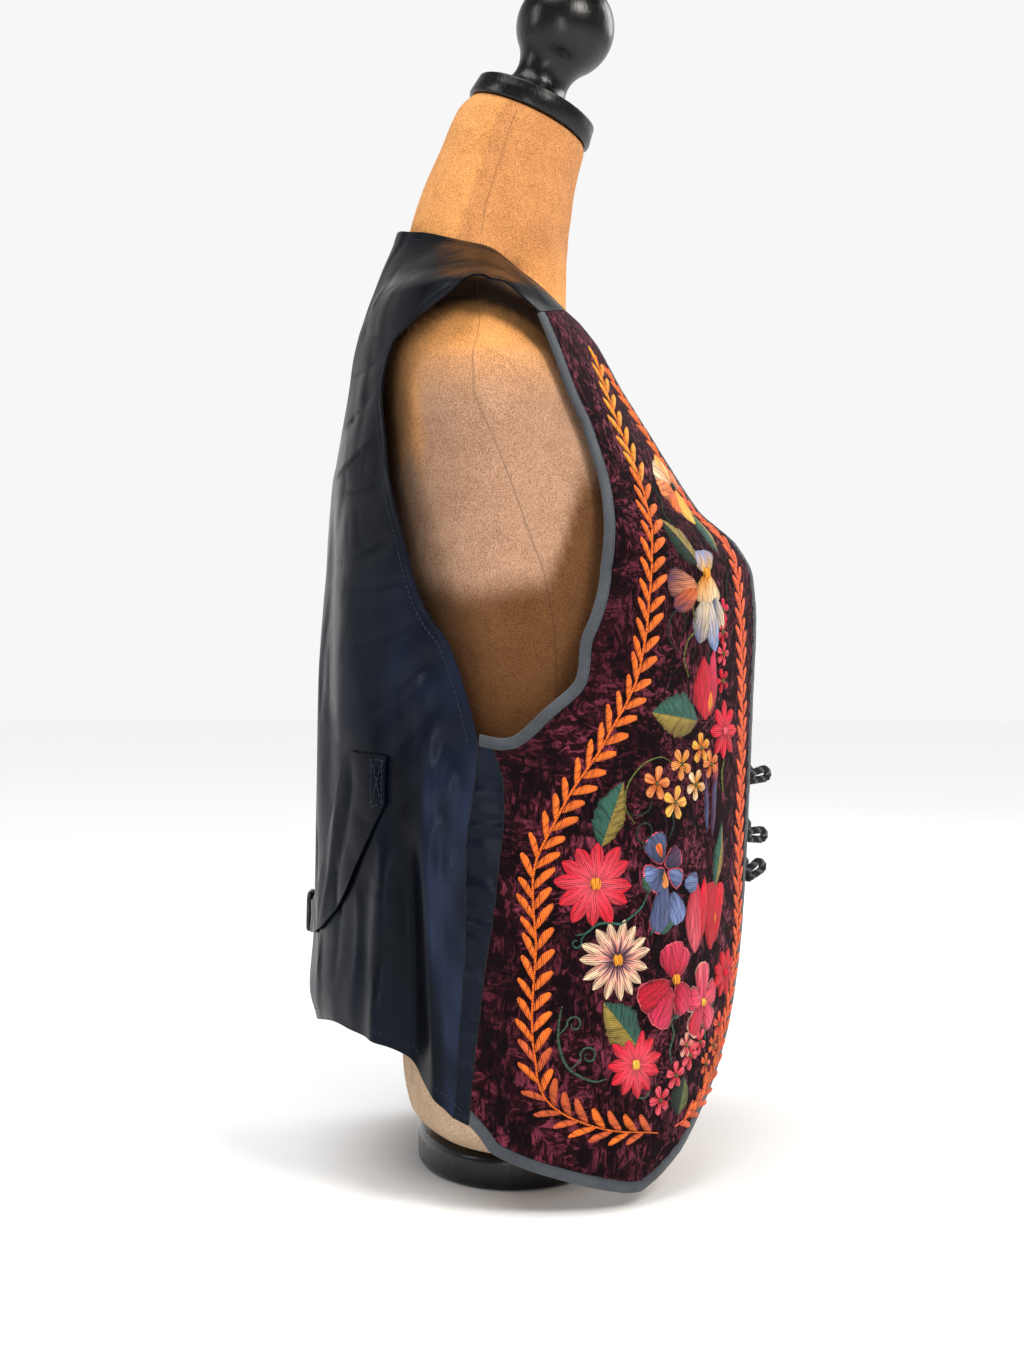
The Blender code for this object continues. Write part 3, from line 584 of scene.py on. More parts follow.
def makeVelvet():
    # near-black pile with pink flakes where it is crushed one way or another: the crushed pattern is the
    # cloth's own, and its pink glints are a painted highlight
    s = newShade("crushedVelvet")
    tall = s.noise(300, (1, 1, 0.42), 2.0, 0.6, 1.1).between(0.46, 0.63)
    wide = s.noise(270, (1, 0.45, 1), 2.0, 0.6, 1.1).between(0.47, 0.64)
    lean = s.noise(34, detail=1.0).between(0.46, 0.54)
    flakes = tall * lean + wide * (1 - lean)
    patch = s.noise(52, detail=3.0, rough=0.65, warp=0.9).between(0.40, 0.62)
    bright = s.noise(14, warp=0.4).between(0.34, 0.62) * 0.65 + 0.35
    crease = 1 - s.wrinkles(0.035, 27, (1, 1, 0.8), 2.0, 0.5, 1.0)
    pile = s.noise(1500, rough=0.7)
    crushed = (flakes * patch + crease * flakes * 0.6).clamped()
    # painted highlight: pink glints and lit colour on the crushed flakes and creases
    paintedGlint = (crushed * bright * (pile * 1.3 + 0.3)).clamped()
    deep = s.ramp(patch * 0.5 + flakes * 0.5, (0.1, velvetLook["dark"]), (0.9, velvetLook["lit"]))
    colour = s.mix(paintedGlint, deep, velvetLook["paintedGlint"])
    normal = s.bump(pile, 0.0003, 0.5, s.bump(crushed + crease * 0.6, 0.0015, 0.8))
    return s.finish(colour, 0.9 - paintedGlint * 0.35, normal, Sheen_Weight=0.1, Sheen_Roughness=0.3,
                    Sheen_Tint=velvetLook["sheen"], Specular_IOR_Level=0.1)


suedeLook = {"nap": 1250, "shade": rgb(0.55, 0.46, 0.37), "light": rgb(1.27, 1.25, 1.21),
             "sheen": rgb(1.0, 0.78, 0.55)}


def makeSuede():
    # the broad tones, with painted light on the shoulders and painted shade below the armhole and under the
    # strap, come with the mesh, and the nap's mottle and speckle from here
    s = newShade("tanSuede")
    tone = s.painted()
    nap = s.noise(suedeLook["nap"], rough=0.8)
    mottle = s.noise(60, detail=4.0, rough=0.65, warp=0.6)
    cloudy = s.noise(13, warp=0.4)
    shade = (mottle * 0.18 + cloudy * 0.12 + nap * 0.7).between(0.34, 0.64)
    colour = s.mix(shade, s.tinted(tone, suedeLook["shade"]), s.tinted(tone, suedeLook["light"]))
    normal = s.bump(nap, 0.0007, 0.9, s.bump(mottle, 0.0008, 0.35))
    return s.finish(colour, 0.92, normal, Sheen_Weight=0.12, Sheen_Roughness=0.5,
                    Sheen_Tint=suedeLook["sheen"], Specular_IOR_Level=0.18)


woodLook = {"dark": (0.0028, 0.0026, 0.0027), "light": (0.0075, 0.007, 0.0072),
            "worn": rgb(0.032, 0.028, 0.026)}


def makeWood():
    s = newShade("blackWood")
    rings = s.noise(30, (6, 6, 0.8), 3.0, 0.6, 0.6)
    grain = s.noise(420, (1, 1, 0.4), 3.0, 0.7, 0.6)
    worn = s.noise(140, (1, 1, 3), 4.0, 0.7, 0.3).between(0.6, 0.8)
    paint = s.ramp(rings, (0.3, woodLook["dark"]), (0.7, woodLook["light"]))
    return s.finish(s.mix(worn * 0.4, paint, woodLook["worn"]), 0.17 + worn * 0.25 + grain * 0.14,
                    s.bump(rings + grain * 0.9, 0.0004, 0.5), Specular_IOR_Level=0.34)


tapeLook = {"twill": 0.09,      # centimetres from one ridge to the next
            "dark": (0.026, 0.030, 0.037), "light": (0.082, 0.092, 0.108)}


def makeTape():
    s = newShade("slateTape")
    uv = s.node("ShaderNodeUVMap")
    twill = ((s.part(uv, "X") + s.part(uv, "Y") * 1.6) * (2 * math.pi / tapeLook["twill"])).ridges()
    fuzz = s.noise(700, detail=3.0, rough=0.7)
    patchy = s.noise(45)
    shade = patchy * 0.5 + fuzz * 0.3 + twill * 0.2
    colour = s.ramp(shade, (0.32, tapeLook["dark"]), (0.7, tapeLook["light"]))
    return s.finish(colour, 0.72 + fuzz * 0.15, s.bump(twill * 0.6 + fuzz * 0.5, 0.00035, 0.7),
                    Sheen_Weight=0.2, Sheen_Roughness=0.5, Specular_IOR_Level=0.3)


# the shade and light colours are the thread's painted shade and painted sheen
threadLook = {"strand": 0.1,      # centimetres across
              "shade": rgb(0.30, 0.22, 0.24), "light": rgb(1.16, 1.16, 1.14)}


def makeThread():
    # dyed thread laid side by side: the mesh's colour with a fine ridge for each strand, darker between
    # strands as painted shade and lighter in streaks along them as painted sheen
    s = newShade("embroideryThread")
    dyed, uv = s.painted(), s.node("ShaderNodeUVMap")
    wander = s.noise(160) * 2.4
    ridge = (s.part(uv, "X") * (2 * math.pi / threadLook["strand"]) + wander).ridges()
    fuzz = s.noise(1100, rough=0.6)
    streak = s.noise(1, s.node("ShaderNodeMapping", inputs={"Vector": uv, "Scale": (6.5, 0.9, 1)}), rough=0.6)
    shade = (ridge * 0.38 + fuzz * 0.22 + streak.between(0.32, 0.62) * 0.4).between(0.2, 0.72)
    colour = s.mix(shade, s.tinted(dyed, threadLook["shade"]), s.tinted(dyed, threadLook["light"]))
    return s.finish(colour, 0.5 + fuzz * 0.2, s.bump(ridge * 0.5 + fuzz * 0.2 + streak * 0.6, 0.0006),
                    Sheen_Weight=0.04, Sheen_Roughness=0.4, Specular_IOR_Level=0.22)


def makeMetal():
    s = newShade("blackMetal")
    scuff = s.noise(300, detail=3.0, rough=0.6)
    return s.finish(s.ramp(scuff, (0.4, (0.010, 0.010, 0.011)), (0.75, (0.05, 0.05, 0.054))),
                    0.3 + scuff * 0.2, s.bump(scuff, 0.0001, 0.3), Metallic=0.4)


satin, velvet, suede, wood = makeSatin(), makeVelvet(), makeSuede(), makeWood()
tape, thread, metal = makeTape(), makeThread(), makeMetal()
print("materials made")


form = {
    "around": 144, "heights": [20.3, 21, 22, 23.5, 26, 30, 35, *range(40, 612, 5), 612, 615, 617, 618],
    "crowd": 12,          # degrees by which the columns crowd toward the sides
    "drop": 17,           # how far the shoulders lie below the vest's
    "strapTurn": 94,      # the middle of the strap that covers them
    "dropWidth": 24, "dropFrom": (452, 34), "dropTo": (548, 19),      # heights with the spans beside them
    "neckFrom": 480,      # the neck's own rows start here
    "seamRadius": 0.32, "seamShade": 0.56,
    "seams": [[(94, 436), (91, 412), (88, 386), (85, 358), (83, 344), (81, 310), (80, 270), (80, 200),
               (82, 120), (84, 60), (86, 32)],
              [(95, 614), (95.5, 590), (95, 560), (93, 535), (91, 515), (90, 496)],
              [(94, 436), (93, 460), (91, 482), (90, 496)]],
    # the shoulder tone is painted light and the low tone painted shade
    "tones": {"neck": (0.60, 0.27, 0.10), "chest": (0.44, 0.262, 0.172), "shoulder": (0.80, 0.365, 0.115),
              "low": (0.125, 0.049, 0.012), "hem": (0.60, 0.44, 0.31)},
    # where a tone starts or ends, and the span over which it does
    "shoulderTone": (425, 60), "neckTone": (505, 40), "rearTone": (105, 7), "hemTone": (150, 50),
    # painted shade under the strap: how dark, how wide, and the height where it ends with its span
    "covered": 0.97, "coveredWidth": 28, "coveredTone": (538, 12)}


def formPoint(turn, height):
    turn, height = np.asarray(turn, float), np.asarray(height, float)
    angle = np.radians(turn)
    neck = {name: lookUp(neckRows, name, height) for name in "centre side front back lean".split()}
    body = {name: lookUp(formRows, name, height) for name in "centre side front back".split()}
    throat = ovalRadius(angle, neck["side"], neck["front"], neck["back"])
    torso = ovalRadius(angle, body["side"], body["front"], body["back"])
    top = formRows["rows"][-1][0]
    share = np.clip((top - height) / 40, 0, 1)
    low = np.where(height >= form["neckFrom"], merged(torso, throat), torso)
    radius = np.where(height > top, throat, low)
    centre = neck["centre"] + (body["centre"] - neck["centre"]) * share
    offset = -radius * np.cos(angle)
    lean = np.tan(np.radians(neck["lean"]))
    return np.stack([-radius * np.sin(angle), centre + offset, height + lean * offset], -1) * mm


def padPoint(turn, height):
    # the form's surface, with its shoulders dropped under the straps
    dip = form["drop"] * hump(nearSide(turn), form["strapTurn"], form["dropWidth"])
    dip = dip * rising(height, *form["dropFrom"]) * falling(height, *form["dropTo"])
    return formPoint(turn, height) - np.stack([0 * dip, 0 * dip, dip], -1) * mm


def formToneLightAndShade(turn, height):
    # broad tones of the form, each washed over the last, with painted light on the shoulders and behind the
    # armhole and painted shade below the armhole and under the strap
    near = nearSide(turn)
    colour = np.array(form["tones"]["chest"]) + 0 * height[..., None]

    def washed(tone, share):
        return colour + (np.array(form["tones"][tone]) - colour) * share[..., None]

    # painted light: brighter orange toward the shoulders
    colour = washed("shoulder", rising(height, *form["shoulderTone"]))
    colour = washed("neck", rising(height, *form["neckTone"]))
    # painted light again behind the armhole, in the shoulders' golden tone
    rear = rising(near, *form["rearTone"]) * eased((height - 392 + 6 * np.sin(near * 0.7)) / 26)
    colour = washed("shoulder", rear * 0.7)                 # golden again behind the armhole
    # painted shade: darker below a wavy line under the armhole
    line = 333 + 62 * falling(near, 84, 13) + 3 * np.sin(near * 0.23 + 1)
    colour = washed("low", eased((line - height) / 20 + 0.5) * 0.95)
    # painted shade in a band where the strap covers the shoulder
    limit = 504 - 0.06 * (near - form["strapTurn"]) ** 2
    strapShade = np.exp(-((near - form["strapTurn"]) / form["coveredWidth"]) ** 4)
    strapShade = strapShade * rising(height, limit, 5) * falling(height, *form["coveredTone"])
    colour = colour * (1 - form["covered"] * strapShade[..., None])        # dark where the strap covers it
    return washed("hem", falling(height, *form["hemTone"]))


def buildForm():
    turn = np.linspace(0, 360, form["around"], endpoint=False)
    turn = turn + form["crowd"] * np.sin(2 * np.radians(turn))
    turns, heights = np.meshgrid(turn, np.array(form["heights"], float))
    addPiece("formSuede", padPoint(turns, heights), ringFaces(*turns.shape), suede, "form_torso",
             colours=formToneLightAndShade(turns, heights).reshape(-1, 3))
    seams = Heap()
    for line in form["seams"]:
        for mirror in (1, -1):
            stations = np.arange(len(line))
            path = readAt(np.linspace(0, len(line) - 1, 10 * len(line)), stations, np.array(line, float))
            turns, heights = smoothed(path[:, 0], 3), path[:, 1]
            points, faces = tube(padPoint(turns * mirror, heights), form["seamRadius"] * mm, 6)
            seams.add(points, faces, None, np.repeat(formToneLightAndShade(turns, heights) * form["seamShade"], 6, 0))
    seams.piece("formSeams", thread, "suede")


def arc(centre, radius, first, last, steps):
    angles = np.radians(np.linspace(first, last, steps + 1))
    return [(centre[0] + radius * math.cos(a), centre[1] + radius * math.sin(a)) for a in angles]


def placed(points, matrix):
    return (np.concatenate([points * mm, np.ones((len(points), 1))], 1) @ np.array(matrix).T)[:, :3]


def buildTurned(name, node, profile, place, deep=1.0, steps=96):
    # a profile of radius and height turned round its axis
    angles = np.linspace(0, 2 * math.pi, steps, endpoint=False)
    radius, rise = np.array(profile, float).T[:, :, None]
    rings = [radius * np.cos(angles), radius * (np.sin(angles) * deep), rise + 0 * angles]
    points = placed(np.stack(rings, -1).reshape(-1, 3), place)
    return addPiece(name, points, ringFaces(len(profile), steps), wood, node)


neckWood = {"lean": 24.4, "height": 618, "centre": -9.3, "shift": 3, "capTop": 15.2, "gap": 0.3,
            "ballRadius": 29.5, "ballRise": 46}
footWood = {"halfWidth": 90, "halfDepth": 56, "height": 20, "rounding": 5}


def buildWood():
    lean = Matrix.Rotation(math.radians(neckWood["lean"]), 4, "X")
    seat = Matrix.Translation((0, neckWood["centre"] * mm, neckWood["height"] * mm)) @ lean
    cap = [(0.5, neckWood["capTop"]), (28, 14.9), *arc((36.4, 12.6), 1.4, 78, 0, 6), (37.9, 11.6),
           (38.2, 9.5), (39.2, 2.8), *arc((37.4, 2.2), 1.6, 5, -85, 6), (0.5, neckWood["gap"])]
    buildTurned("capWood", "neck_cap", cap, seat)
    top = neckWood["capTop"] + neckWood["gap"]
    stalk = [(20.4, 24.5), (18.4, 21), (17.1, 17.5), (16.5, 14), (16.7, 10), (17.4, 7), (19.2, 4.4),
             (21.6, 2.4), (22.4, 1.4), (22.4, 0), (0.5, 0)]
    finial = arc((0, top + neckWood["ballRise"]), neckWood["ballRadius"], 89, -38, 40)
    finial += [(radius, top + rise) for radius, rise in stalk]
    buildTurned("finialWood", "finial", finial, seat @ Matrix.Translation((0, neckWood["shift"] * mm, 0)))
    r, h, wide = footWood["rounding"], footWood["height"], footWood["halfWidth"]
    foot = [(0.5, h), (wide - r, h), *arc((wide - r, h - r), r, 80, 0, 6), *arc((wide - r, r), r, 0, -80, 6),
            (wide - r, 0), (0.5, 0)]
    buildTurned("footWood", "foot", foot, Matrix.Identity(4), footWood["halfDepth"] / wide)


buildForm()
buildWood()
print("form made")


# outlines of the vest's pieces, as spots
outlines = {
    "backHem": [(102, 53), (106, 63), (110, 71), (114, 82), (120, 89), (130, 93), (139, 95), (158, 89),
                (180, 82)],
    "backSeam": [(102, 53), (100.4, 109), (99.5, 140), (99.3, 175), (99, 202), (98, 219), (97.2, 236),
                 (96.7, 253)],
    "backArmhole": [(96.7, 253), (97.4, 261), (99, 277), (101, 293), (103, 306), (107, 320), (110, 338),
                    (112, 359), (115, 385), (116.2, 410), (117.5, 440), (113, 464), (107, 473), (100, 482.5),
                    (96, 489.5), (92.3, 498.5), (89.3, 500), (87.5, 496.5), (84.5, 495.5), (81, 487.5),
                    (77.6, 480.3)],
    "backNeck": [(180, 551), (160, 549.5), (140, 545.5), (123, 542), (108, 537), (96, 532), (89.5, 529),
                 (82, 525), (74, 517), (65, 506.5), (56.6, 494.3)],
    "backMiddle": [(180, 82), (180, 200), (180, 400), (180, 551)],
    "sideSeam": [(99, 50), (97.4, 89), (96.4, 111), (95.2, 137), (93.9, 158), (92.7, 186), (91.7, 211),
                 (91.9, 232), (93.65, 247)],
    "frontArmhole": [(96.3, 256), (93.9, 254.6), (91.2, 254), (88.6, 257), (83.6, 269.5), (78.6, 281),
                     (77, 289), (76.4, 305), (74, 320), (72.1, 337), (70, 368), (69.5, 390), (71.3, 417),
                     (73.6, 435), (75.6, 460), (77.4, 479.6)],
    "frontHem": [(98.7, 49.5), (96.5, 43), (94.5, 36), (91, 31), (86.5, 26), (79.7, 20), (72.3, 14),
                 (64.7, 9), (60, 8)],
    "frontEdge": [(60, 8), (55, 13), (49.6, 20), (45, 27), (39.5, 39), (32, 56), (26, 74), (21.7, 93),
                  (19, 118), (17.6, 150), (16.5, 200), (16, 290), (16.5, 338), (19, 361), (24, 381),
                  (28.2, 400), (33.7, 423.5), (40.9, 452), (46.1, 471), (51.1, 484), (56.7, 493.9)],
    "beltUpper": [(117.5, 244), (126, 245), (131.5, 242), (138.5, 203), (149.5, 165), (164, 156),
                  (179.85, 155)],
    "beltLower": [(117.5, 218), (120, 208), (125.5, 188), (133, 163), (146, 144), (163, 138), (179.85, 138)]}
seamGap = 0.4
sides = (("right", False), ("left", True))
back = {"columns": 92, "lowRows": 84, "strapRows": 66, "seamRows": 40, "thickness": 0.9,
        "hem": 7.0, "hemRise": 0.35, "hemEdge": 1.2, "stitchLine": 5.6, "groove": 0.35, "grooveWidth": 0.7}


def hemRelief(reach):
    # the folded edge is a little thicker, with a groove along its stitches
    edge = back["hemRise"] * eased((back["hem"] - reach) / back["hemEdge"] + 0.5)
    return edge - back["groove"] * hump(reach, back["stitchLine"], back["grooveWidth"])


# painted sheen and painted shade of the satin's folds
gloss = {   # the satin's tones; a pair is where one ends and its span, or a hump's middle and width
    "plain": 0.95, "pale": 4.6, "underarm": 1.9, "shaded": 0.75,
    "foldTop": (266, 40), "crestTurn": 109.5, "crestShift": 4.5, "shiftTop": (230, 170), "crestSpan": 2.2,
    "shadeGap": 4, "shadeWidth": 4.2, "underarmHeight": (300, 42), "underarmTurn": (121, 9)}


def foldSheenAndShade(turn, height):
    # painted sheen makes the satin pale along the fold beside the seam, where it faces the light, and
    # under the arm; painted shade makes it dark behind that fold
    near = nearSide(turn)
    low = falling(height, *gloss["foldTop"])
    crest = gloss["crestTurn"] - gloss["crestShift"] * falling(height, *gloss["shiftTop"])
    crest = crest + 0.5 * np.sin(height * 0.05)
    ripple = 0.68 + 0.2 * np.sin(height * 0.085 + near * 0.6) + 0.12 * np.sin(height * 0.19 - near * 0.9)
    pale = falling(near, crest, gloss["crestSpan"]) * low * ripple
    shaded = hump(near, crest + gloss["shadeGap"], gloss["shadeWidth"]) * low
    underarm = hump(height, *gloss["underarmHeight"]) * falling(near, *gloss["underarmTurn"])
    tones = gloss["plain"] + gloss["pale"] * pale + gloss["underarm"] * underarm - gloss["shaded"] * shaded
    return tones.reshape(-1, 1) * np.ones(3)


def buildBack():
    lowRows, seamRows = back["lowRows"], back["seamRows"]
    starts = np.vstack([trace(outlines["backSeam"], seamRows),
                        trace(outlines["backArmhole"], lowRows + back["strapRows"] - seamRows)[1:]])
    ends = np.vstack([trace(outlines["backMiddle"], lowRows),
                      trace(outlines["backNeck"], back["strapRows"])[1:]])
    half = rowsBetween(starts, ends, back["columns"], trace(outlines["backHem"], back["columns"]))
    tall, wide = half.shape[:2]
    row = np.arange(tall)[:, None]
    border = [(0, j) for j in range(wide - 1, 0, -1)] + [(i, 0) for i in range(tall - 1)]
    border += [(tall - 1, j) for j in range(wide - 1)]
    border += [(i, wide - 1) for i in range(tall - 1, lowRows - 1, -1)]      # the neck; the middle is joined
    heap = Heap()
    for _, left in sides:
        spots = facing(half, left)
        base = onCloth(spots)
        fromSeam, fromHem = lengths(base, 1), lengths(base, 0)
        toNeck = np.where(row > lowRows, fromSeam[:, -1:] - fromSeam, fromHem[-1:] - fromHem)
        reach = np.minimum(np.minimum(fromHem, toNeck), np.where(row > seamRows, fromSeam, 99))
        out = hemRelief(reach)
        under = onCloth(spots, out - back["thickness"] - np.clip(out, 0, 1))
        points, faces = closedSheet(onCloth(spots, out), under, border)
        flat = np.stack([fromSeam, fromHem], -1).reshape(-1, 2) / 10
        # the satin's painted sheen and painted shade at its folds
        tones = foldSheenAndShade(spots[..., 0], spots[..., 1])
        heap.add(points, faces, np.concatenate([flat, flat]), np.concatenate([tones, tones]))
    return heap.piece("satinBack", satin, "satin", "back_satin")


strips = {"columns": 10, "rows": 120, "thickness": 0.9, "pucker": 1.0, "tone": 1.3,
          "topShare": 0.985, "top": (93.8, 249.5)}


def buildStrip(side, left):
    behind = moved(trace(outlines["backSeam"], strips["rows"]), seamGap, -1)
    behind = trace(behind[:int(strips["rows"] * strips["topShare"])], strips["rows"])
    ahead = trace([*outlines["sideSeam"], strips["top"]], strips["rows"])
    spots = facing(rowsBetween(behind, ahead, strips["columns"]), left)
    i = np.arange(strips["rows"] + 1)[:, None]
    across = np.linspace(0, 1, strips["columns"] + 1)[None]
    ruck = np.sin(i * 0.83 + 2.2 * np.sin(i * 0.19) + across * 1.3) * (0.6 + 0.4 * np.sin(i * 0.41 + 1))
    out = strips["pucker"] * ruck * (0.35 + np.abs(across - 0.5)) - 0.15
    points, faces, uv = shell(spots, out, strips["thickness"])
    # the strip's satin is drawn paler than the back's by a fixed tone, a painted sheen
    return addPiece("sideStrip" + side.title(), points, faces, satin, "side_strip_" + side, uv,
                    np.full((len(points), 3), strips["tone"]))


belt = {"steps": 90, "columns": 14, "thickness": 1.1, "lift": 0.85, "edge": 0.35, "wave": 0.25, "tone": 0.7}


def buildBelt(side, left):
    upper, lower = (trace(outlines[name], belt["steps"]) for name in ("beltUpper", "beltLower"))
    spots = facing(rowsBetween(upper, lower, belt["columns"]), left)
    across = np.linspace(0, 1, belt["columns"] + 1)[None]
    along = np.linspace(0, 1, belt["steps"] + 1)[:, None]
    out = belt["lift"] + belt["thickness"] + belt["edge"] * np.cos(across * 2 * math.pi) * 0.5
    out = out + belt["wave"] * np.sin(along * 21 + across * 2) * (1 - np.abs(across - 0.5))
    points, faces, uv = shell(spots, out, belt["thickness"])
    # the belt's satin is drawn darker than the back's by a fixed tone, a painted shade
    return addPiece("belt" + side.title(), points, faces, satin, "belt_" + side, uv,
                    np.full((len(points), 3), belt["tone"]))


front = {"columns": 60, "rows": 156, "armRows": 116, "seamRows": 40, "thickness": 1.9,
         "tapeWidth": 6.5, "gap": 0.3, "pucker": 0.35}


def frontPaths(hemSteps, edgeSteps, armSteps):
    # the hem with the front edge, and the armhole, with the seams' directions at their ends
    shoulder = moved(trace([outlines["backArmhole"][-1], outlines["backNeck"][-1]], 96), seamGap, -1)
    sideSeam = direction(*outlines["sideSeam"][:2])
    underarm = direction(outlines["backSeam"][-1], outlines["backSeam"][-2])
    border = np.vstack([trace(outlines["frontHem"], hemSteps)[:-1],
                        trace([*outlines["frontEdge"][:-1], shoulder[-1]], edgeSteps)])
    armhole = trace([*outlines["frontArmhole"][:-1], shoulder[0]], armSteps)
    return ((border, dict(first=sideSeam, last=direction(shoulder[-1], shoulder[-8]))),
            (armhole, dict(sign=-1, first=underarm, last=direction(shoulder[0], shoulder[8]))))


def buildFront(side, left):
    inset = front["tapeWidth"] + front["gap"]
    border, armhole = (moved(path, inset, **ends)
                       for path, ends in frontPaths(front["columns"], front["rows"], 120))
    armhole = trace(armhole[4:], front["armRows"])
    seam = moved(trace(outlines["sideSeam"], front["seamRows"] * 4), seamGap, -1)
    hem, edge = border[:front["columns"] + 1].copy(), border[front["columns"]:]
    low = int(np.argmin(np.abs(seam[:, 1] - border[0, 1])))
    seam = trace(np.vstack([seam[low:-3], armhole[:1]]), front["seamRows"])
    starts = np.vstack([seam[:-1], armhole])
    hem[0] = starts[0]
    spots = rowsBetween(starts, edge, front["columns"], hem)
    spots[-1] = trace([starts[-1], edge[-1]], front["columns"])
    spots = facing(spots, left)
    base = onCloth(spots)
    along = lengths(base, 0)
    reach = np.minimum(np.minimum(lengths(base, 1), lengths(base[:, ::-1], 1)[:, ::-1]), along)
    pucker = front["pucker"] * np.sin(along * 0.8 + 1.7 * np.sin(along * 0.11)) * np.exp(-reach / 7)
    points, faces, uv = shell(spots, pucker - 0.1, front["thickness"])
    return addPiece("velvetFront" + side.title(), points, faces, velvet, "front_velvet_" + side, uv)


binding = {"width": 6.5, "thickness": 3.0, "velvet": 2.2, "groove": 0.3, "stitch": 0.84, "columns": 10,
           "steps": (70, 300, 160)}


def buildBinding(name, node, path, ends, left):
    # tape folded round the velvet's edge: a closed section swept along the path
    share = np.linspace(0, math.pi, binding["columns"] + 1)
    across = (1 - np.cos(share)) / 2
    swell = np.sin(share) ** 0.55 * (1 - 0.22 * across)
    swell = swell - binding["groove"] * hump(across, binding["stitch"], 0.06)
    section = list(zip(across, swell)) + list(zip(across[-2:0:-1], -swell[-2:0:-1]))
    spots = facing(path, left)
    inward = flipped(inwards(path, **ends), left)
    points, normal = clothBase(*spots.T), normalAt(*spots.T)
    length = lengths(points) / 10
    wave = 1 + 0.05 * np.sin(length * 3.1) + 0.04 * np.sin(length * 7.7 + 1)
    rings, uv = [], []
    for a, s in section:
        rise = s * binding["thickness"] / 2 * wave - binding["velvet"] / 2
        rings.append(points + (inward * a * binding["width"] + normal * rise[:, None]) * mm)
        uv.append(np.stack([length, np.full_like(length, a * binding["width"] / 10)], -1))
    rings = np.stack(rings, 1)
    addPiece(name, rings, ringFaces(*rings.shape[:2]), tape, node, np.stack(uv, 1).reshape(-1, 2))


pieces = {"back": [buildBack()], "front": [], "strip": [], "belt": []}
for side, left in sides:
    for kind, build in (("strip", buildStrip), ("belt", buildBelt), ("front", buildFront)):
        pieces[kind].append(build(side, left))
    for kind, (path, ends) in zip(("edge", "armhole"), frontPaths(*binding["steps"])):
        buildBinding(kind + "Tape" + side.title(), kind + "_binding_" + side, path, ends, left)
print("cloth made")


loops = {"rows": [("top", 229, 12), ("middle", 195, 0), ("bottom", 170, 34)],     # name, height and tilt
         "radius": 1.4, "length": 14, "width": 5.7, "rootGap": 1.1, "sunk": 1.1, "seat": 1.4, "rings": 90,
         "strand": 1.3, "spread": 1.05, "twist": 5.6,
         "dyes": [(0.010, 0.012, 0.015), (0.085, 0.095, 0.11), (0.007, 0.008, 0.010)]}


def edgeFrame(height):
    # point, normal, inward and upward directions on the right front edge
    path = trace(outlines["frontEdge"], 240)
    i = int(np.argmin(np.abs(path[:, 1] - height)))
    return clothBase(*path[i]), normalAt(*path[i]), inwards(path)[i], tangents(path)[i]


def buildLoop(name, height, tilt):
    # three strands twisted along a hairpin that stands off the tape
    point, normal, inward, upward = edgeFrame(height)
    forward = unit(np.array([0, -1, 0]) - inward * 0.6)
    upward = unit(upward - forward * upward.dot(forward))
    lean = math.radians(tilt)
    out = forward * math.cos(lean) + upward * math.sin(lean)
    across = upward * math.cos(lean) - forward * math.sin(lean)
    half, radius = loops["width"] / 2, loops["radius"]
    root = loops["rootGap"] + (half * 0.72 + radius) * abs(math.sin(lean)) - loops["seat"]
    start = point + (forward * root - normal * loops["sunk"]) * mm
    leg = [(-0.6, -half * 0.62), (1.5, -half * 0.75), (loops["length"] * 0.35, -half * 0.85)]
    bend = arc((loops["length"] - half - radius, 0), half, -90, 90, 8)
    route = np.array(leg + bend + [(x, -y) for x, y in leg[::-1]])
    flat = smoothed(readAt(np.linspace(0, len(route) - 1, loops["rings"]), np.arange(len(route)), route), 4)
    centres = start + (flat[:, :1] * out + flat[:, 1:] * across) * mm
    length = lengths(centres)
    aside = unit(np.cross(out, across))
    up = np.cross(unit(np.gradient(centres, axis=0)), aside)
    heap = Heap()
    for k, colour in enumerate(loops["dyes"]):
        angle = (length * 2 * math.pi / loops["twist"] + k * 2 * math.pi / 3)[:, None]
        strand = centres + (aside * np.cos(angle) + up * np.sin(angle)) * loops["spread"] * mm
        points, faces = tube(strand, loops["strand"] * mm, 7)
        heap.add(points, faces, np.repeat(np.stack([length, length], -1) / 10, 7, 0), colour)
    heap.piece("loop" + name.title(), thread, "cord", "loop_" + name)


buttons = {"radius": 5.5, "seat": 0.9, "shank": 2.4, "ridges": 5, "groove": 0.55, "rings": 30, "steps": 48,
           "stem": [(0, 2.4), (1, 2.2), (2, 2.2), (3.4, 2.6)]}      # rise and radius


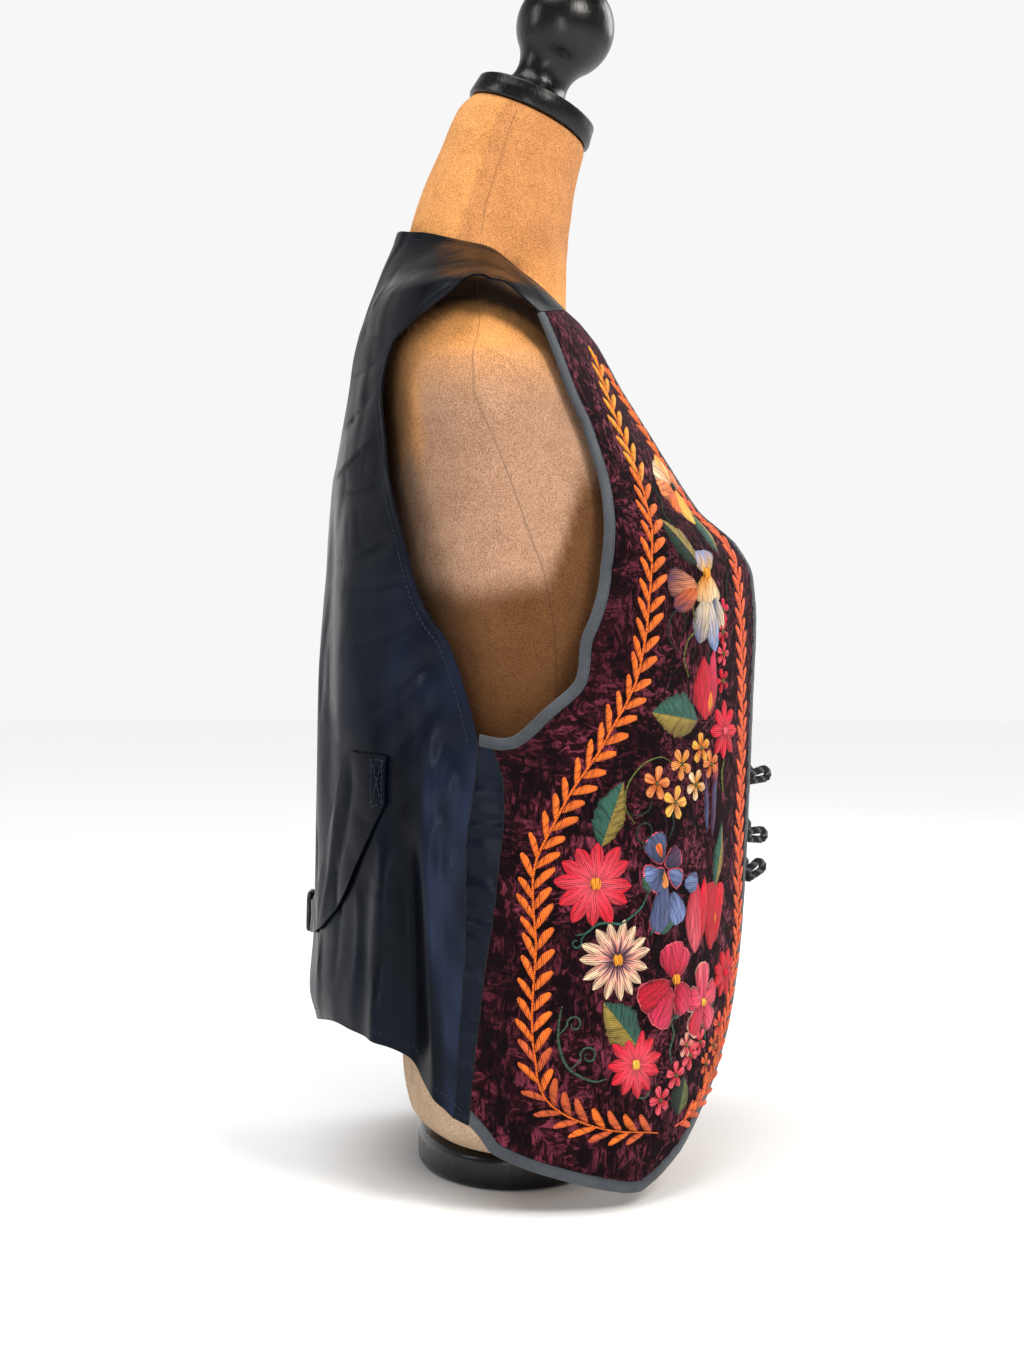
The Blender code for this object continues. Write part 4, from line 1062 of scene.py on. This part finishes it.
def buildButton(name, height):
    point, normal, inward, _ = edgeFrame(height)
    seat = flipped(point + (inward * front["tapeWidth"] / 2 + normal * buttons["seat"]) * mm, True)
    upright = Vector(flipped(normal, True)).to_track_quat("Z", "Y").to_matrix().to_4x4()
    place = Matrix.Translation(seat) @ upright
    rings, steps = buttons["rings"], buttons["steps"]
    polar = np.linspace(0.02, math.pi - 0.4, rings)[:, None]
    around = np.linspace(0, 2 * math.pi, steps, endpoint=False)[None]
    half = buttons["ridges"] * around / 2
    weave = np.abs(np.sin(half + 3 * polar)) * np.abs(np.sin(half - 3 * polar))
    radius = buttons["radius"] - buttons["groove"] * (1 - weave ** 0.5) * np.sin(polar)
    ball = np.stack([radius * np.sin(polar) * np.cos(around), radius * np.sin(polar) * np.sin(around),
                     buttons["shank"] + buttons["radius"] + radius * np.cos(polar)], -1)
    heap = Heap()
    # painted light: the cord is drawn lighter on its raised weave than in its grooves
    heap.add(placed(ball.reshape(-1, 3), place), ringFaces(rings, steps),
             np.repeat(polar * 0.5, steps, 1).reshape(-1, 1).repeat(2, 1),
             np.array(loops["dyes"][0]) + weave.reshape(-1, 1) * 0.03)
    rises, radii = zip(*buttons["stem"])
    points, faces = tube([(0, 0, rise) for rise in rises], radii, 16, aside=(1, 0, 0))
    heap.add(placed(points, place), faces, None, loops["dyes"][2])
    heap.piece("button" + name.title(), thread, "cord", "button_" + name)


buckle = {"halfSize": 12, "height": 146.5, "wire": 1.5, "bar": 1.2, "corner": 3.5, "rise": 3.9}


def buildBuckle():
    spot = np.array([180.0, buckle["height"]])
    centre, normal = onCloth(spot, buckle["rise"]), normalAt(*spot)
    sideways = np.array([1.0, 0, 0])
    up = unit(np.cross(normal, sideways))
    side, corner = buckle["halfSize"] - buckle["wire"], buckle["corner"]
    inner = side - corner
    loop = []
    for x, y, start in ((inner, inner, 0), (-inner, inner, 90), (-inner, -inner, 180), (inner, -inner, 270)):
        loop += arc((x, y), corner, start, start + 90, 8)
    bar = [(0, y) for y in np.linspace(-side, side, 8)]
    heap = Heap()
    for route, wire, sunk, closed in ((loop, buckle["wire"], 0, True), (bar, buckle["bar"], 0.5, False)):
        route = np.array(route)
        centres = centre + (route[:, :1] * sideways + route[:, 1:] * up - normal * sunk) * mm
        heap.add(*tube(centres, wire * mm, 10, closed, normal))
    heap.piece("slideBuckle", metal, "black_metal", "belt_buckle")


for name, height, tilt in loops["rows"]:
    buildLoop(name, height, tilt)
    buildButton(name, height)
buildBuckle()
print("fastenings made")


def dye(*levels):
    # a colour from its levels of 0 to 255 on a screen
    return np.array([v / 255 / 12.92 if v < 11 else ((v / 255 + 0.055) / 1.055) ** 2.4 for v in levels])


dyes = {
    "orange": dye(236, 112, 34), "amber": dye(246, 158, 40), "rust": dye(206, 92, 48),
    "salmon": dye(238, 104, 62), "cream": dye(240, 218, 178), "peach": dye(234, 146, 88),
    "yellow": dye(246, 190, 74), "coral": dye(222, 24, 50), "rose": dye(240, 96, 112),
    "crimson": dye(186, 8, 42), "pink": dye(216, 48, 88), "blush": dye(236, 176, 160),
    "violet": dye(74, 44, 78), "olive": dye(146, 126, 54), "moss": dye(96, 104, 52),
    "teal": dye(48, 92, 78), "pine": dye(26, 46, 34), "sage": dye(58, 86, 68), "slate": dye(84, 96, 138),
    "sky": dye(118, 140, 190), "ink": dye(44, 52, 78), "plum": dye(92, 50, 84), "red": dye(214, 14, 34),
    "navyThread": dye(40, 45, 60), "seam": dye(14, 15, 20), "tapeThread": dye(66, 72, 82)}
draw = random.Random(7)


class Embroidery(Heap):
    # stitched shapes, whose points are spots with a rise over the velvet
    def lay(self, name, left):
        spots = np.concatenate(self.points)
        self.points = [onCloth(facing(spots[:, :2], left), spots[:, 2])]
        self.piece(name, thread, "velvet")


def metric(anchor):
    # millimetres along the velvet in a degree of turn and in a millimetre of height
    around, upward = slopes(*anchor)
    return np.linalg.norm(around) / mm, np.linalg.norm(upward) / mm


def spotsFrom(anchor, forward, up, rises=None):
    # spots that lie forward and up of an anchor by millimetres, with their rises
    around, upward = metric(anchor)
    spots = [anchor[0] - forward / around, anchor[1] + up / upward]
    return np.stack(spots if rises is None else [*spots, rises], -1)


def shapeWidth(kind, s):
    if kind == "leaf":
        return np.sin(math.pi * s ** 0.86) ** 0.95
    if kind == "round":
        return np.clip(1 - (2 * s - 1) ** 2, 0, 1) ** 0.5
    most, opening, ending, closing = {"petal": (1.12, 0.45, 3.4, 0.75), "blunt": (1.05, 0.5, 7, 0.5),
                                      "laurel": (1, 0.34, 8, 0.75)}[kind]
    return most * s ** opening * np.clip(1 - s ** ending, 0, 1) ** closing


def turned(x, y, angle):
    c, s = math.cos(math.radians(angle)), math.sin(math.radians(angle))
    return x * c + y * s, y * c - x * s


def drawn(most, count):
    return np.array([draw.uniform(-most, most) for _ in range(count)])


# sideShade and footShade darken each patch's sides and foot, a painted shade where patches meet
stitch = {"sides": 0.5, "ends": 0.35, "edgeSink": 0.22,     # powers of the dome, and how deep its edge goes
          "ragged": 0.35, "streak": 0.26, "streakGain": 0.75, "sideShade": 0.6, "footShade": 0.25}


def petal(work, anchor, angle, length, width, base, tip, kind, start, lift, floor=0.0, halves=(1, 1),
          slant=0.0, bend=0.0, rows=9, columns=6, blend=1.0, skew=0.0, fray=0.045):
    # a stitched patch: angle from straight up toward the front, threads at a slant to its length
    s = np.linspace(0.015, 0.985, rows + 1)[:, None]
    w = np.linspace(-1, 1, columns + 1)[None]
    half = width / 2 * shapeWidth(kind, s) * np.where(w < 0, *halves)
    frays = drawn(fray, 2 * rows + 2).reshape(-1, 2)
    half = half * (1 + np.where(w < 0, frays[:, :1], frays[:, 1:]))
    ragged = drawn(stitch["ragged"], columns + 1)[None] * s ** 4
    x = w * half + bend * s * s
    y = start + s * length + ragged + skew * x * s
    dome = np.clip(1 - w * w, 0, 1) ** stitch["sides"] * np.clip(np.sin(math.pi * s), 0, 1) ** stitch["ends"]
    spots = spotsFrom(anchor, *turned(x, y, angle), floor + lift * dome - stitch["edgeSink"] * (1 - dome))
    uv = np.stack(turned(x, y, slant), -1) / 10
    streak = drawn(stitch["streak"], columns + 1)[None]
    share = (np.clip(s + streak, 0, 1) ** blend)[..., None]
    # painted shade at the patch's sides and foot
    fade = (1 - stitch["sideShade"] * np.abs(w) ** 5)[..., None]
    fade = fade * (1 - stitch["footShade"] * (1 - s)[..., None] ** 3)
    streaked = 1 + streak[..., None] * stitch["streakGain"]
    colours = (dyes[base] * (1 - share) + dyes[tip] * share) * streaked * fade
    work.add(spots, gridFaces(rows + 1, columns + 1), uv, colours)


def knot(work, anchor, radius, colour, lift, floor):
    for side in (-1, 1):
        petal(work, spotsFrom(anchor, side * radius * 0.35, 0.0), 0, 2 * radius, radius * 1.3, colour, colour,
              "round", -radius, lift, floor, rows=6, columns=4)


def daisy(work, anchor, radius, count, base, tip, centre, heart, width, phase, blend=0.7, floor=0.0):
    wide = 2 * math.pi * radius * 0.62 / count * width * 1.25
    for i in range(count):
        angle = phase + 360 * i / count + draw.uniform(-4, 4)
        long = (radius * 1.12 - heart * 0.5) * draw.uniform(0.93, 1.05)
        petal(work, anchor, angle, long, wide, base, tip, "petal", heart * 0.2, 0.8, floor + 0.12 * (i % 2),
              blend=blend)
    knot(work, anchor, heart * 1.9, base, 0.35, floor)
    knot(work, anchor, heart, centre, 1.5, floor + 0.4)


def blossom(work, anchor, radius, tip, base, phase):
    for i in range(5):
        petal(work, anchor, phase + 72 * i + draw.uniform(-7, 7), radius, radius * 0.78, base, tip, "blunt",
              0.6, 0.8, 0.1 * (i % 2), rows=6, columns=4)
    petal(work, anchor, 0, 2.6, 2.4, "moss", "moss", "round", -1.3, 0.9, 0.4, rows=4, columns=4)


def outlined(work, anchor, angle, length, width, base, tip, edge, start, floor):
    petal(work, anchor, angle, length + 1.5, width + 2.2, edge, edge, "blunt", start - 0.7, 0.5, floor)
    petal(work, anchor, angle, length, width, base, tip, "blunt", start, 0.85, floor + 0.3, columns=7)


def twoToneLeaf(work, anchor, angle, length, leftWidth, rightWidth, leftDye, rightDye, bend):
    # a leaf in two dyes, each half stitched slantwise out from the vein
    left, right = ((1, 0.03), leftWidth, leftDye, 50), ((0.03, 1), rightWidth, rightDye, -50)
    for halves, wide, colour, slant in (left, right):
        petal(work, anchor, angle, length, 2 * wide, colour, colour, "leaf", 0, 0.7, 0.05, halves, slant,
              bend, 22, 7, fray=0.11)


def ribbon(work, spots, width, colour, lift=0.6, taper=0.3):
    path = trace(spots, max(6, 7 * (len(spots) - 1)))
    length = lengths(clothBase(*path.T))
    step = np.gradient(path, axis=0)
    around, upward = metric(path[len(path) // 2])
    ahead = unit(np.stack([-step[:, 0] * around, step[:, 1] * upward], -1))
    share = np.clip(np.linspace(0, 1, len(path)), 0.02, 0.98)
    w = np.array([-1, -0.55, 0, 0.55, 1])
    across = (width / 2 * (taper + (1 - taper) * np.sin(math.pi * share) ** 0.4))[:, None] * w
    spots = np.stack([path[:, :1] - ahead[:, 1:] * across / around,
                      path[:, 1:] - ahead[:, :1] * across / upward,
                      lift * (1 - w * w) - 0.12 * w * w + 0 * across], -1)
    uv = np.stack(np.broadcast_arrays(length[:, None] * 0.08, w / 10), -1)
    work.add(spots, gridFaces(len(path), 5), uv, dyes[colour])


def curl(anchor, radius, start, sweep, growth=0.35):
    # spots of a tendril's curl that opens outward
    angles = np.radians(np.linspace(start, start + sweep, 12))
    radii = radius * np.linspace(1, growth, 12)
    return [tuple(spotsFrom(anchor, r * math.sin(a), r * math.cos(a))) for r, a in zip(radii, angles)]


laurels = {   # a spine of spots, the leaves' pitch, length and widths, spread from the spine, and dyes
    "spines": [
        [(56, 39), (60, 41), (67.6, 44), (74, 49), (80.3, 57), (84.2, 68), (85.4, 85), (86, 98), (86, 111),
         (85.7, 127), (85.3, 145), (85.8, 163), (86, 176), (85.5, 188), (83.6, 200), (81.4, 211),
         (78.8, 224), (75.6, 236), (72.5, 247), (69.9, 259), (67.1, 271), (64.8, 282), (63.2, 296),
         (61.9, 313), (61.2, 328), (60.2, 342), (59.5, 354), (58.4, 367), (57.4, 381), (57.2, 393),
         (58.2, 406), (59.4, 420), (59.8, 434), (59, 452), (57.5, 464)],
        [(50, 40), (45, 43), (40, 48), (35, 56), (31, 67), (28, 80), (25.6, 94), (23.6, 110), (22.4, 127),
         (22.3, 145), (23, 163), (23.5, 190), (23.7, 210), (23.7, 227), (24, 247), (24.4, 264), (25.4, 284),
         (26.6, 304), (27.6, 327), (28.2, 343), (28.4, 356), (30, 370), (33.5, 387), (38, 405),
         (43.5, 427), (49, 448), (52.5, 460)]],
    "pitch": [10.6, 9.4], "length": [14.5, 12.5], "widths": [(4.9, 6.2), (5, 5.4)],
    "spread": [(27, 36), (26, 28)],
    "dyes": [("rust", "orange", "amber"), ("rust", "salmon", "orange")], "spineWidth": 1.3}


def buildLaurel(work, k):
    spine, spreads, widths = (laurels[name][k] for name in ("spines", "spread", "widths"))
    total = lengths(clothBase(*np.array(spine, float).T))[-1]
    count = int(total / laurels["pitch"][k])
    path = trace(spine, count * 6)
    low, middle, high = laurels["dyes"][k]
    for i in range(1, count):
        spot, ahead, before = path[i * 6], path[i * 6 + 3], path[i * 6 - 3]
        around, upward = metric(spot)
        heading = math.degrees(math.atan2(-(ahead[0] - before[0]) * around, (ahead[1] - before[1]) * upward))
        tone = low if spot[1] < 95 and draw.random() < 0.6 else high if spot[1] > 395 else middle
        for side, foot, wide, spread in zip((-1, 1), (spot, before), widths, spreads):
            long = laurels["length"][k] * draw.uniform(0.9, 1.08)
            angle = heading + side * (spread + draw.uniform(-3, 3))
            petal(work, foot, angle, long, wide, tone, tone, "laurel", 0.4, 0.85, slant=side * 38,
                  bend=side * draw.uniform(-0.4, 1.0), rows=8, columns=5, skew=side)
    ribbon(work, path[::6], laurels["spineWidth"], middle, 0.55)


daisies = [   # turn, height, radius, petals, base, tip and centre dyes, heart, width, phase, blend, floor
    (73.3, 177, 21.5, 12, "rose", "coral", "amber", 3.4, 1.3, 4),
    (68.3, 136, 20.5, 15, "rose", "cream", "amber", 3.0, 1.25, 8),
    (63.4, 79, 17.5, 11, "rose", "coral", "yellow", 2.9, 1.25, 12),
    (34.7, 256, 15.5, 8, "crimson", "coral", "rose", 2.4, 1.1, 0),
    (29.5, 119, 14, 8, "crimson", "red", "coral", 2.4, 1.2, 20),
    (68.3, 136, 13, 15, "violet", "blush", "amber", 3.2, 0.75, 8, 1.9, 0.55)]      # over the cream one
blossoms = [   # turn, height, radius, tip dye, base dye, phase
    (59, 229, 7.6, "peach", "orange", 10), (51.7, 239, 7.2, "peach", "amber", 40),
    (45, 247, 7, "yellow", "orange", 0), (40.7, 238, 6.6, "peach", "orange", 55),
    (46.5, 227, 7, "cream", "amber", 30), (53.6, 218, 7.6, "yellow", "peach", 15),
    (36.7, 323, 5.6, "coral", "pink", 0), (37, 311, 5.4, "coral", "crimson", 30),
    (36.5, 299, 5.4, "rose", "coral", 10), (36, 284, 5.6, "coral", "crimson", 50),
    (50.9, 69, 6.4, "rose", "coral", 0), (45.6, 78, 6.8, "rose", "coral", 25),
    (55.8, 57, 6.6, "rose", "coral", 50), (47.5, 84, 5.6, "blush", "coral", 10),
    (31, 90, 6, "salmon", "coral", 5), (33.6, 79, 5, "salmon", "rust", 30),
    (41.2, 84, 6, "rose", "coral", 40), (37.5, 70, 5, "salmon", "rust", 12)]
leaves = [   # turn and height of the foot, angle, length, left and right widths, left and right dyes, bend
    (45.5, 347, -47, 36, 6, 6, "pine", "olive", 1), (36, 355, -14, 35, 6.5, 5, "teal", "olive", 1.5),
    (46.5, 262, -82, 37, 9, 11, "olive", "teal", 0), (72.2, 196, 19, 37, 8.5, 7, "teal", "olive", 1),
    (37.5, 168, 10, 38, 4.5, 4.5, "teal", "olive", 0), (62.8, 88, -42, 34, 8.4, 9, "olive", "teal", 1),
    (49.2, 46, 12, 22, 8, 7, "pine", "moss", 0), (52.5, 100, 52, 17, 2.5, 2.5, "sage", "teal", 1),
    (60.5, 170, -22, 12, 2.6, 2.6, "sage", "teal", 0), (57.6, 148, 60, 13, 2.5, 2.5, "sage", "teal", 1)]
petals = [   # turn, height, angle, length, width, base dye, tip dye, shape, start
    (40.7, 393, -18, 19, 13, "peach", "yellow", "petal", 1),
    (40.7, 393, 4, 17, 10.2, "yellow", "cream", "petal", 1),
    (40.7, 393, -62, 20.3, 13, "peach", "cream", "blunt", 1),
    (40.7, 393, -100, 20.3, 11.6, "orange", "peach", "blunt", 1),
    (40.7, 393, -148, 20, 13, "rust", "orange", "petal", 1),
    (40.7, 393, 175, 23, 14.5, "amber", "yellow", "petal", 2),
    (40.7, 393, 155, 20, 11.6, "yellow", "amber", "petal", 2),
    (40.7, 393, 60, 16, 14.5, "rust", "peach", "blunt", 1),
    (43.1, 343, -6, 13, 18.8, "yellow", "sky", "blunt", 0),
    (43.1, 343, 176, 17, 20.3, "amber", "cream", "blunt", 0),
    (46.5, 336, -88, 24.6, 13, "peach", "violet", "blunt", 1),
    (46.5, 334, -116, 23.2, 11.6, "orange", "violet", "petal", 1),
    (43.6, 330, -162, 26, 14.5, "cream", "slate", "petal", 1),
    (42.6, 330, 168, 30, 11.6, "cream", "sky", "petal", 1),
    (41.5, 332, 148, 22, 10.2, "slate", "cream", "petal", 1),
    (43.4, 262, -6, 36, 14.3, "coral", "crimson", "leaf", 0),
    (41.6, 264, 4, 38, 9.9, "crimson", "pink", "leaf", 0),
    (42.2, 266, 2, 15, 5.5, "amber", "orange", "leaf", 0),
    (45.3, 134, -2, 43, 12.1, "rose", "crimson", "leaf", 0),
    (43.2, 140, 4, 36, 7.7, "crimson", "coral", "leaf", 0),
    (38.2, 134, -4, 39, 15.4, "red", "crimson", "blunt", 0),
    (36.2, 138, 6, 34, 9.9, "crimson", "red", "blunt", 0),
    (37.6, 146, 2, 13, 6.6, "amber", "orange", "leaf", 0),
    (50.1, 174, 95, 13, 9.9, "sky", "slate", "blunt", 0),
    (54, 170, 160, 19, 12.1, "slate", "sky", "blunt", 0),
    (39.5, 196, 4, 40, 3.3, "plum", "slate", "leaf", 0),
    (41.5, 200, -6, 34, 2.6, "slate", "plum", "leaf", 0),
    (38.8, 226, 8, 14, 3.3, "plum", "salmon", "leaf", 0),
    (30.5, 66, -20, 7, 6.1, "orange", "rust", "round", 0),
    (35.5, 58, -20, 7, 6.1, "orange", "rust", "round", 0),
    (40.7, 45, -10, 6, 5.5, "rust", "orange", "round", 0)]
edged = [   # turn, height, angle, length, width, base dye, tip dye, outline dye, start, floor
    (57.3, 186, -24, 15, 15, "ink", "slate", "rose", 0, 0),
    (57.4, 188, -24, 8, 5, "rust", "orange", "ink", 1, 0.5),
    (56.6, 184, 62, 12, 11, "ink", "plum", "rose", 1, 0),
    (57, 183, -150, 12, 14, "ink", "slate", "rose", 0, 0.2),
    (56.4, 176, -172, 25, 14, "slate", "slate", "rose", 0, 0),
    (57.9, 181, -96, 10, 9, "slate", "sky", "rose", 0, 0.3),
    (55.4, 181, 118, 11, 9, "sky", "slate", "rose", 0, 0.35),
    (57, 181, 170, 8, 5, "amber", "peach", "ink", 0, 0.6),
    (52.2, 122, -12, 17, 19, "crimson", "pink", "rose", 1, 0),
    (52.2, 122, 24, 15, 13, "crimson", "pink", "rose", 1, 0.1),
    (53.4, 121, -112, 21, 15, "crimson", "crimson", "rose", 2, 0.1),
    (53.2, 119, -150, 20, 15, "crimson", "pink", "rose", 2, 0.3),
    (51.8, 120, 148, 16, 17, "crimson", "pink", "rose", 1, 0.4),
    (41, 106, -4, 19, 14, "pink", "rose", "blush", 1, 0),
    (41, 106, 70, 14, 13, "rose", "pink", "blush", 1, 0.1),
    (41, 106, 140, 16, 13, "pink", "rose", "blush", 1, 0.2),
    (41, 106, -148, 17, 13, "pink", "coral", "blush", 1, 0.3),
    (41, 106, -76, 13, 12, "rose", "pink", "blush", 1, 0.2)]
knots = [   # spot, radius, dye, lift, floor
    ((40.9, 392), 2.6, "pine", 1.3, 0.4), ((43.2, 343), 3.2, "amber", 1.4, 0.5),
    ((52.2, 122), 3.0, "amber", 1.6, 0.7), ((41, 106), 2.4, "yellow", 1.5, 0.7)]
stems = [   # width, dye, spots
    (1.5, "sage", [(70.5, 73), (72.9, 72), (76, 75), (79, 81), (80.6, 92), (80.7, 103), (80, 113)]),
    (1.2, "sage", [(80.6, 98)] + curl((77.4, 103), 4.6, -100, 400)),
    (1.2, "sage", [(78.3, 79)] + curl((74.4, 86), 5.2, -110, 420)),
    (1.4, "teal", [(77.4, 150), (75.2, 151), (73, 155), (70.7, 156), (67.6, 155), (65.3, 158), (62.6, 163),
                   (61, 170)]),
    (1.1, "teal", [(75.2, 151)] + curl((77.2, 146), 3.2, 60, 330)),
    (1.3, "teal", [(60, 148), (58.4, 155), (57.6, 164)]),
    (1.3, "sage", [(52.6, 76), (53.4, 84), (52.4, 92), (53.3, 99), (51.8, 102)]),
    (1.2, "pine", [(63.4, 194)] + curl((61.8, 203), 6.4, 180, 400, 0.5)),
    (1.0, "moss", [(64.6, 208), (66.8, 217), (66.2, 229), (62.8, 239), (58.2, 243), (55, 240)]),
    (1.0, "pine", [(66, 214), (64, 212), (61, 215), (60.4, 221)]),
    (1.0, "pine", [(54, 300), (56.4, 308), (55.6, 318), (53, 322), (51, 316), (52.6, 309)]),
    (1.0, "moss", [(50, 286), (51.6, 296), (50.4, 306), (48, 312), (49, 326)]),
    (1.1, "pine", [(33, 346), (34.6, 336), (33.6, 327), (34.8, 318)]),
    (1.1, "pine", [(53.5, 392), (51.2, 383), (52.4, 374), (50.2, 365)]),
    (1.2, "pine", [(43.4, 300), (42.2, 292), (43.6, 284)]),
    (1.2, "moss", [(34.4, 240), (35.4, 232), (34.6, 222)]),
    (1.3, "teal", [(34.4, 108), (36.4, 100), (38.8, 92), (38.4, 84)]),
    (1.2, "pine", [(54.6, 214), (54, 206), (55.4, 199)]), (1.2, "sage", [(59, 64), (60.6, 60), (62.6, 61)])]


def buildEmbroidery(side, left):
    draw.seed(11 if left else 7)
    laurel, flowers, greens = Embroidery(), Embroidery(), Embroidery()
    for k in (0, 1):
        buildLaurel(laurel, k)
    for width, colour, spots in stems:
        ribbon(greens, spots, width, colour)
    for turn, height, angle, length, low, high, *rest in leaves:
        twoToneLeaf(greens, (turn, height), angle, length, low * 1.25, high * 1.25, *rest)
    for turn, height, angle, length, width, *rest in petals:
        petal(flowers, (turn, height), angle, length, width * 1.55, *rest, 0.8, draw.uniform(0, 0.25))
    for turn, height, angle, length, width, *rest in edged:
        outlined(flowers, (turn, height), angle, length * 1.12, width * 1.3, *rest)
    for spot, *rest in knots:
        knot(flowers, spot, *rest)
    for turn, height, *rest in daisies:
        daisy(flowers, (turn, height), *rest)
    for turn, height, radius, *rest in blossoms:
        blossom(flowers, (turn, height), radius * 1.18, *rest)
    for name, work in (("laurel", laurel), ("flower", flowers), ("green", greens)):
        work.lay(name + "Embroidery" + side.title(), left)


for side, left in sides:
    buildEmbroidery(side, left)
print("embroidery made")


stitching = {"length": 2.3, "gap": 0.9, "radius": 0.2, "tapeInset": 5.45,
             "satin": [("backArmhole", 200, 5.6, 1), ("backHem", 140, 6.2, -1), ("backNeck", 120, 5.6, -1)],
             "patch": [(118.3, 241.5), (121.6, 242), (121.4, 216), (118.3, 218)],    # box on the belt's end
             "crossed": [(0, 1), (1, 2), (2, 3), (3, 0), (0, 2), (1, 3)],
             "stations": [0, 0.12, 0.5, 0.88, 1], "sunk": [-0.35, 0, 0.1, 0, -0.35]}     # along one stitch


def sew(heap, path, out, colour, left):
    spots = facing(path, left)
    base = onCloth(spots, out)
    length = lengths(base)
    pitch = stitching["length"] + stitching["gap"]
    for k in range(int(length[-1] / pitch)):
        at = k * pitch + np.array(stitching["stations"]) * stitching["length"]
        normal = normalAt(*spots[int(np.argmin(np.abs(length - at[2])))])
        here = readAt(at, length, base) + np.array(stitching["sunk"])[:, None] * normal * mm
        points, faces = tube(here, stitching["radius"] * mm, 5)
        heap.add(points, faces, None, dyes[colour])


def buildStitching(side, left):
    heap = Heap()
    for line, count, inset, sign in stitching["satin"]:
        sew(heap, moved(trace(outlines[line], count), inset, sign), -0.05, "navyThread", left)
    for line in ("backSeam", "sideSeam"):
        path = facing(moved(trace(outlines[line], 160), seamGap / 2, -1), left)
        points, faces = tube(onCloth(path, -0.45), 0.55 * mm, 6)
        heap.add(points, faces, None, dyes["seam"])
    corners = stitching["patch"]
    for start, end in stitching["crossed"]:
        path = trace([corners[start], corners[end]], 24)
        sew(heap, path, belt["lift"] + belt["thickness"] + 0.25, "navyThread", left)
    heap.piece("satinStitching" + side.title(), thread, "satin")
    heap = Heap()
    for path, ends in frontPaths(*binding["steps"]):
        sew(heap, moved(path, stitching["tapeInset"], **ends), 0.05, "tapeThread", left)
    heap.piece("tapeStitching" + side.title(), thread, "binding")


for side, left in sides:
    buildStitching(side, left)
print("stitching made")


stage = {
    "floorRadius": 14, "dust": [(0.3, (0.86, 0.86, 0.86)), (0.7, (0.88, 0.88, 0.88))],
    "far": rgb(0.97, 0.97, 0.97), "farFrom": 1.0, "farTo": 4.0, "backdrop": 0.93,
    "sky": [("Z", 0.3, 0.95, 0.6, 0.18), ("X", -0.1, 0.32, 0.75, 1)],    # axis, then place and strength twice
    "target": (0, 0, 0.33),
    "lights": [   # name, place, size, power, colour
        ("key", (-1.6, -1.2, 1.9), (0.9, 0.9), 46, (1, 0.96, 0.9)),
        ("rim", (-0.5, 1.9, 1.4), (0.4, 1.2), 9, (0.92, 0.96, 1)),
        ("fill", (-1.9, 0.35, 0.4), (0.3, 0.9), 5, (0.9, 0.95, 1)),
        ("far", (1.3, -1.8, 1.5), (1.2, 1.2), 22, (1, 1, 1))],
    "sun": 2.5, "sunSpread": 50, "sunTilt": (-12, -14)}


def buildFloor():
    plane = bpy.data.meshes.new("floor")
    rim = arc((0, 0), stage["floorRadius"], 0, 360, 96)[:-1]
    plane.from_pydata([(x, y, 0) for x, y in rim], [], [tuple(range(len(rim)))])
    s = newShade("paleFloor")
    away = s.node("ShaderNodeVectorMath", {"operation": "LENGTH"}, {0: s.place()}, 1)
    near = s.ramp(s.noise(6), *stage["dust"])
    colour = s.mix(away.between(stage["farFrom"], stage["farTo"]), near, stage["far"])     # paler far off
    plane.materials.append(s.finish(colour, 0.9))
    addObject("floor", plane)


def buildWorld():
    # pale at the horizon, dimmer overhead and on the camera's side
    s = Shade(bpy.data.worlds.new("studio"))
    around = s.node("ShaderNodeTexCoord", output="Generated")
    down, across = (
        s.node("ShaderNodeMapRange", None, {"Value": s.part(around, axis), "From Min": start, "To Min": low,
                                            "From Max": end, "To Max": high})
        for axis, start, low, end, high in stage["sky"])
    # an even pale backdrop, while the light that falls stays graded
    seen = s.node("ShaderNodeLightPath", output="Is Camera Ray")
    background = s.tree.nodes["Background"]
    s.put(background.inputs["Strength"], s.node("ShaderNodeMix", None, {
        0: seen, 2: down * across, 3: stage["backdrop"]}))
    s.put(background.inputs["Color"], rgb(1, 1, 1))
    bpy.context.scene.world = s.owner


def buildLights():
    for name, place, size, power, colour in stage["lights"]:
        data = bpy.data.lights.new(name, "AREA")
        data.shape, data.size, data.size_y = "RECTANGLE", *size
        data.energy, data.color = power, colour
        light = addObject(name, data)
        light.location = place
        light.rotation_euler = (Vector(stage["target"]) - Vector(place)).to_track_quat("-Z", "Y").to_euler()
    sun = bpy.data.lights.new("top", "SUN")
    sun.energy, sun.angle = stage["sun"], math.radians(stage["sunSpread"])
    addObject("top", sun).rotation_euler = (*(math.radians(tilt) for tilt in stage["sunTilt"]), 0)


view = {"place": (-1.2, 0, 0.283), "sensor": 36,
        "focal": 2000, "frame": 1365}      # focal length and height of the frame in pixels


def buildCamera():
    data = bpy.data.cameras.new("view")
    data.sensor_fit, data.sensor_height = "VERTICAL", view["sensor"]
    data.lens = view["focal"] * view["sensor"] / view["frame"]
    camera = addObject("view", data)
    camera.location, camera.rotation_euler = view["place"], (math.pi / 2, 0, -math.pi / 2)
    bpy.context.scene.camera = camera


buildFloor()
buildWorld()
buildLights()
buildCamera()
bpy.context.scene.view_settings.view_transform = "Standard"
print("stage made")
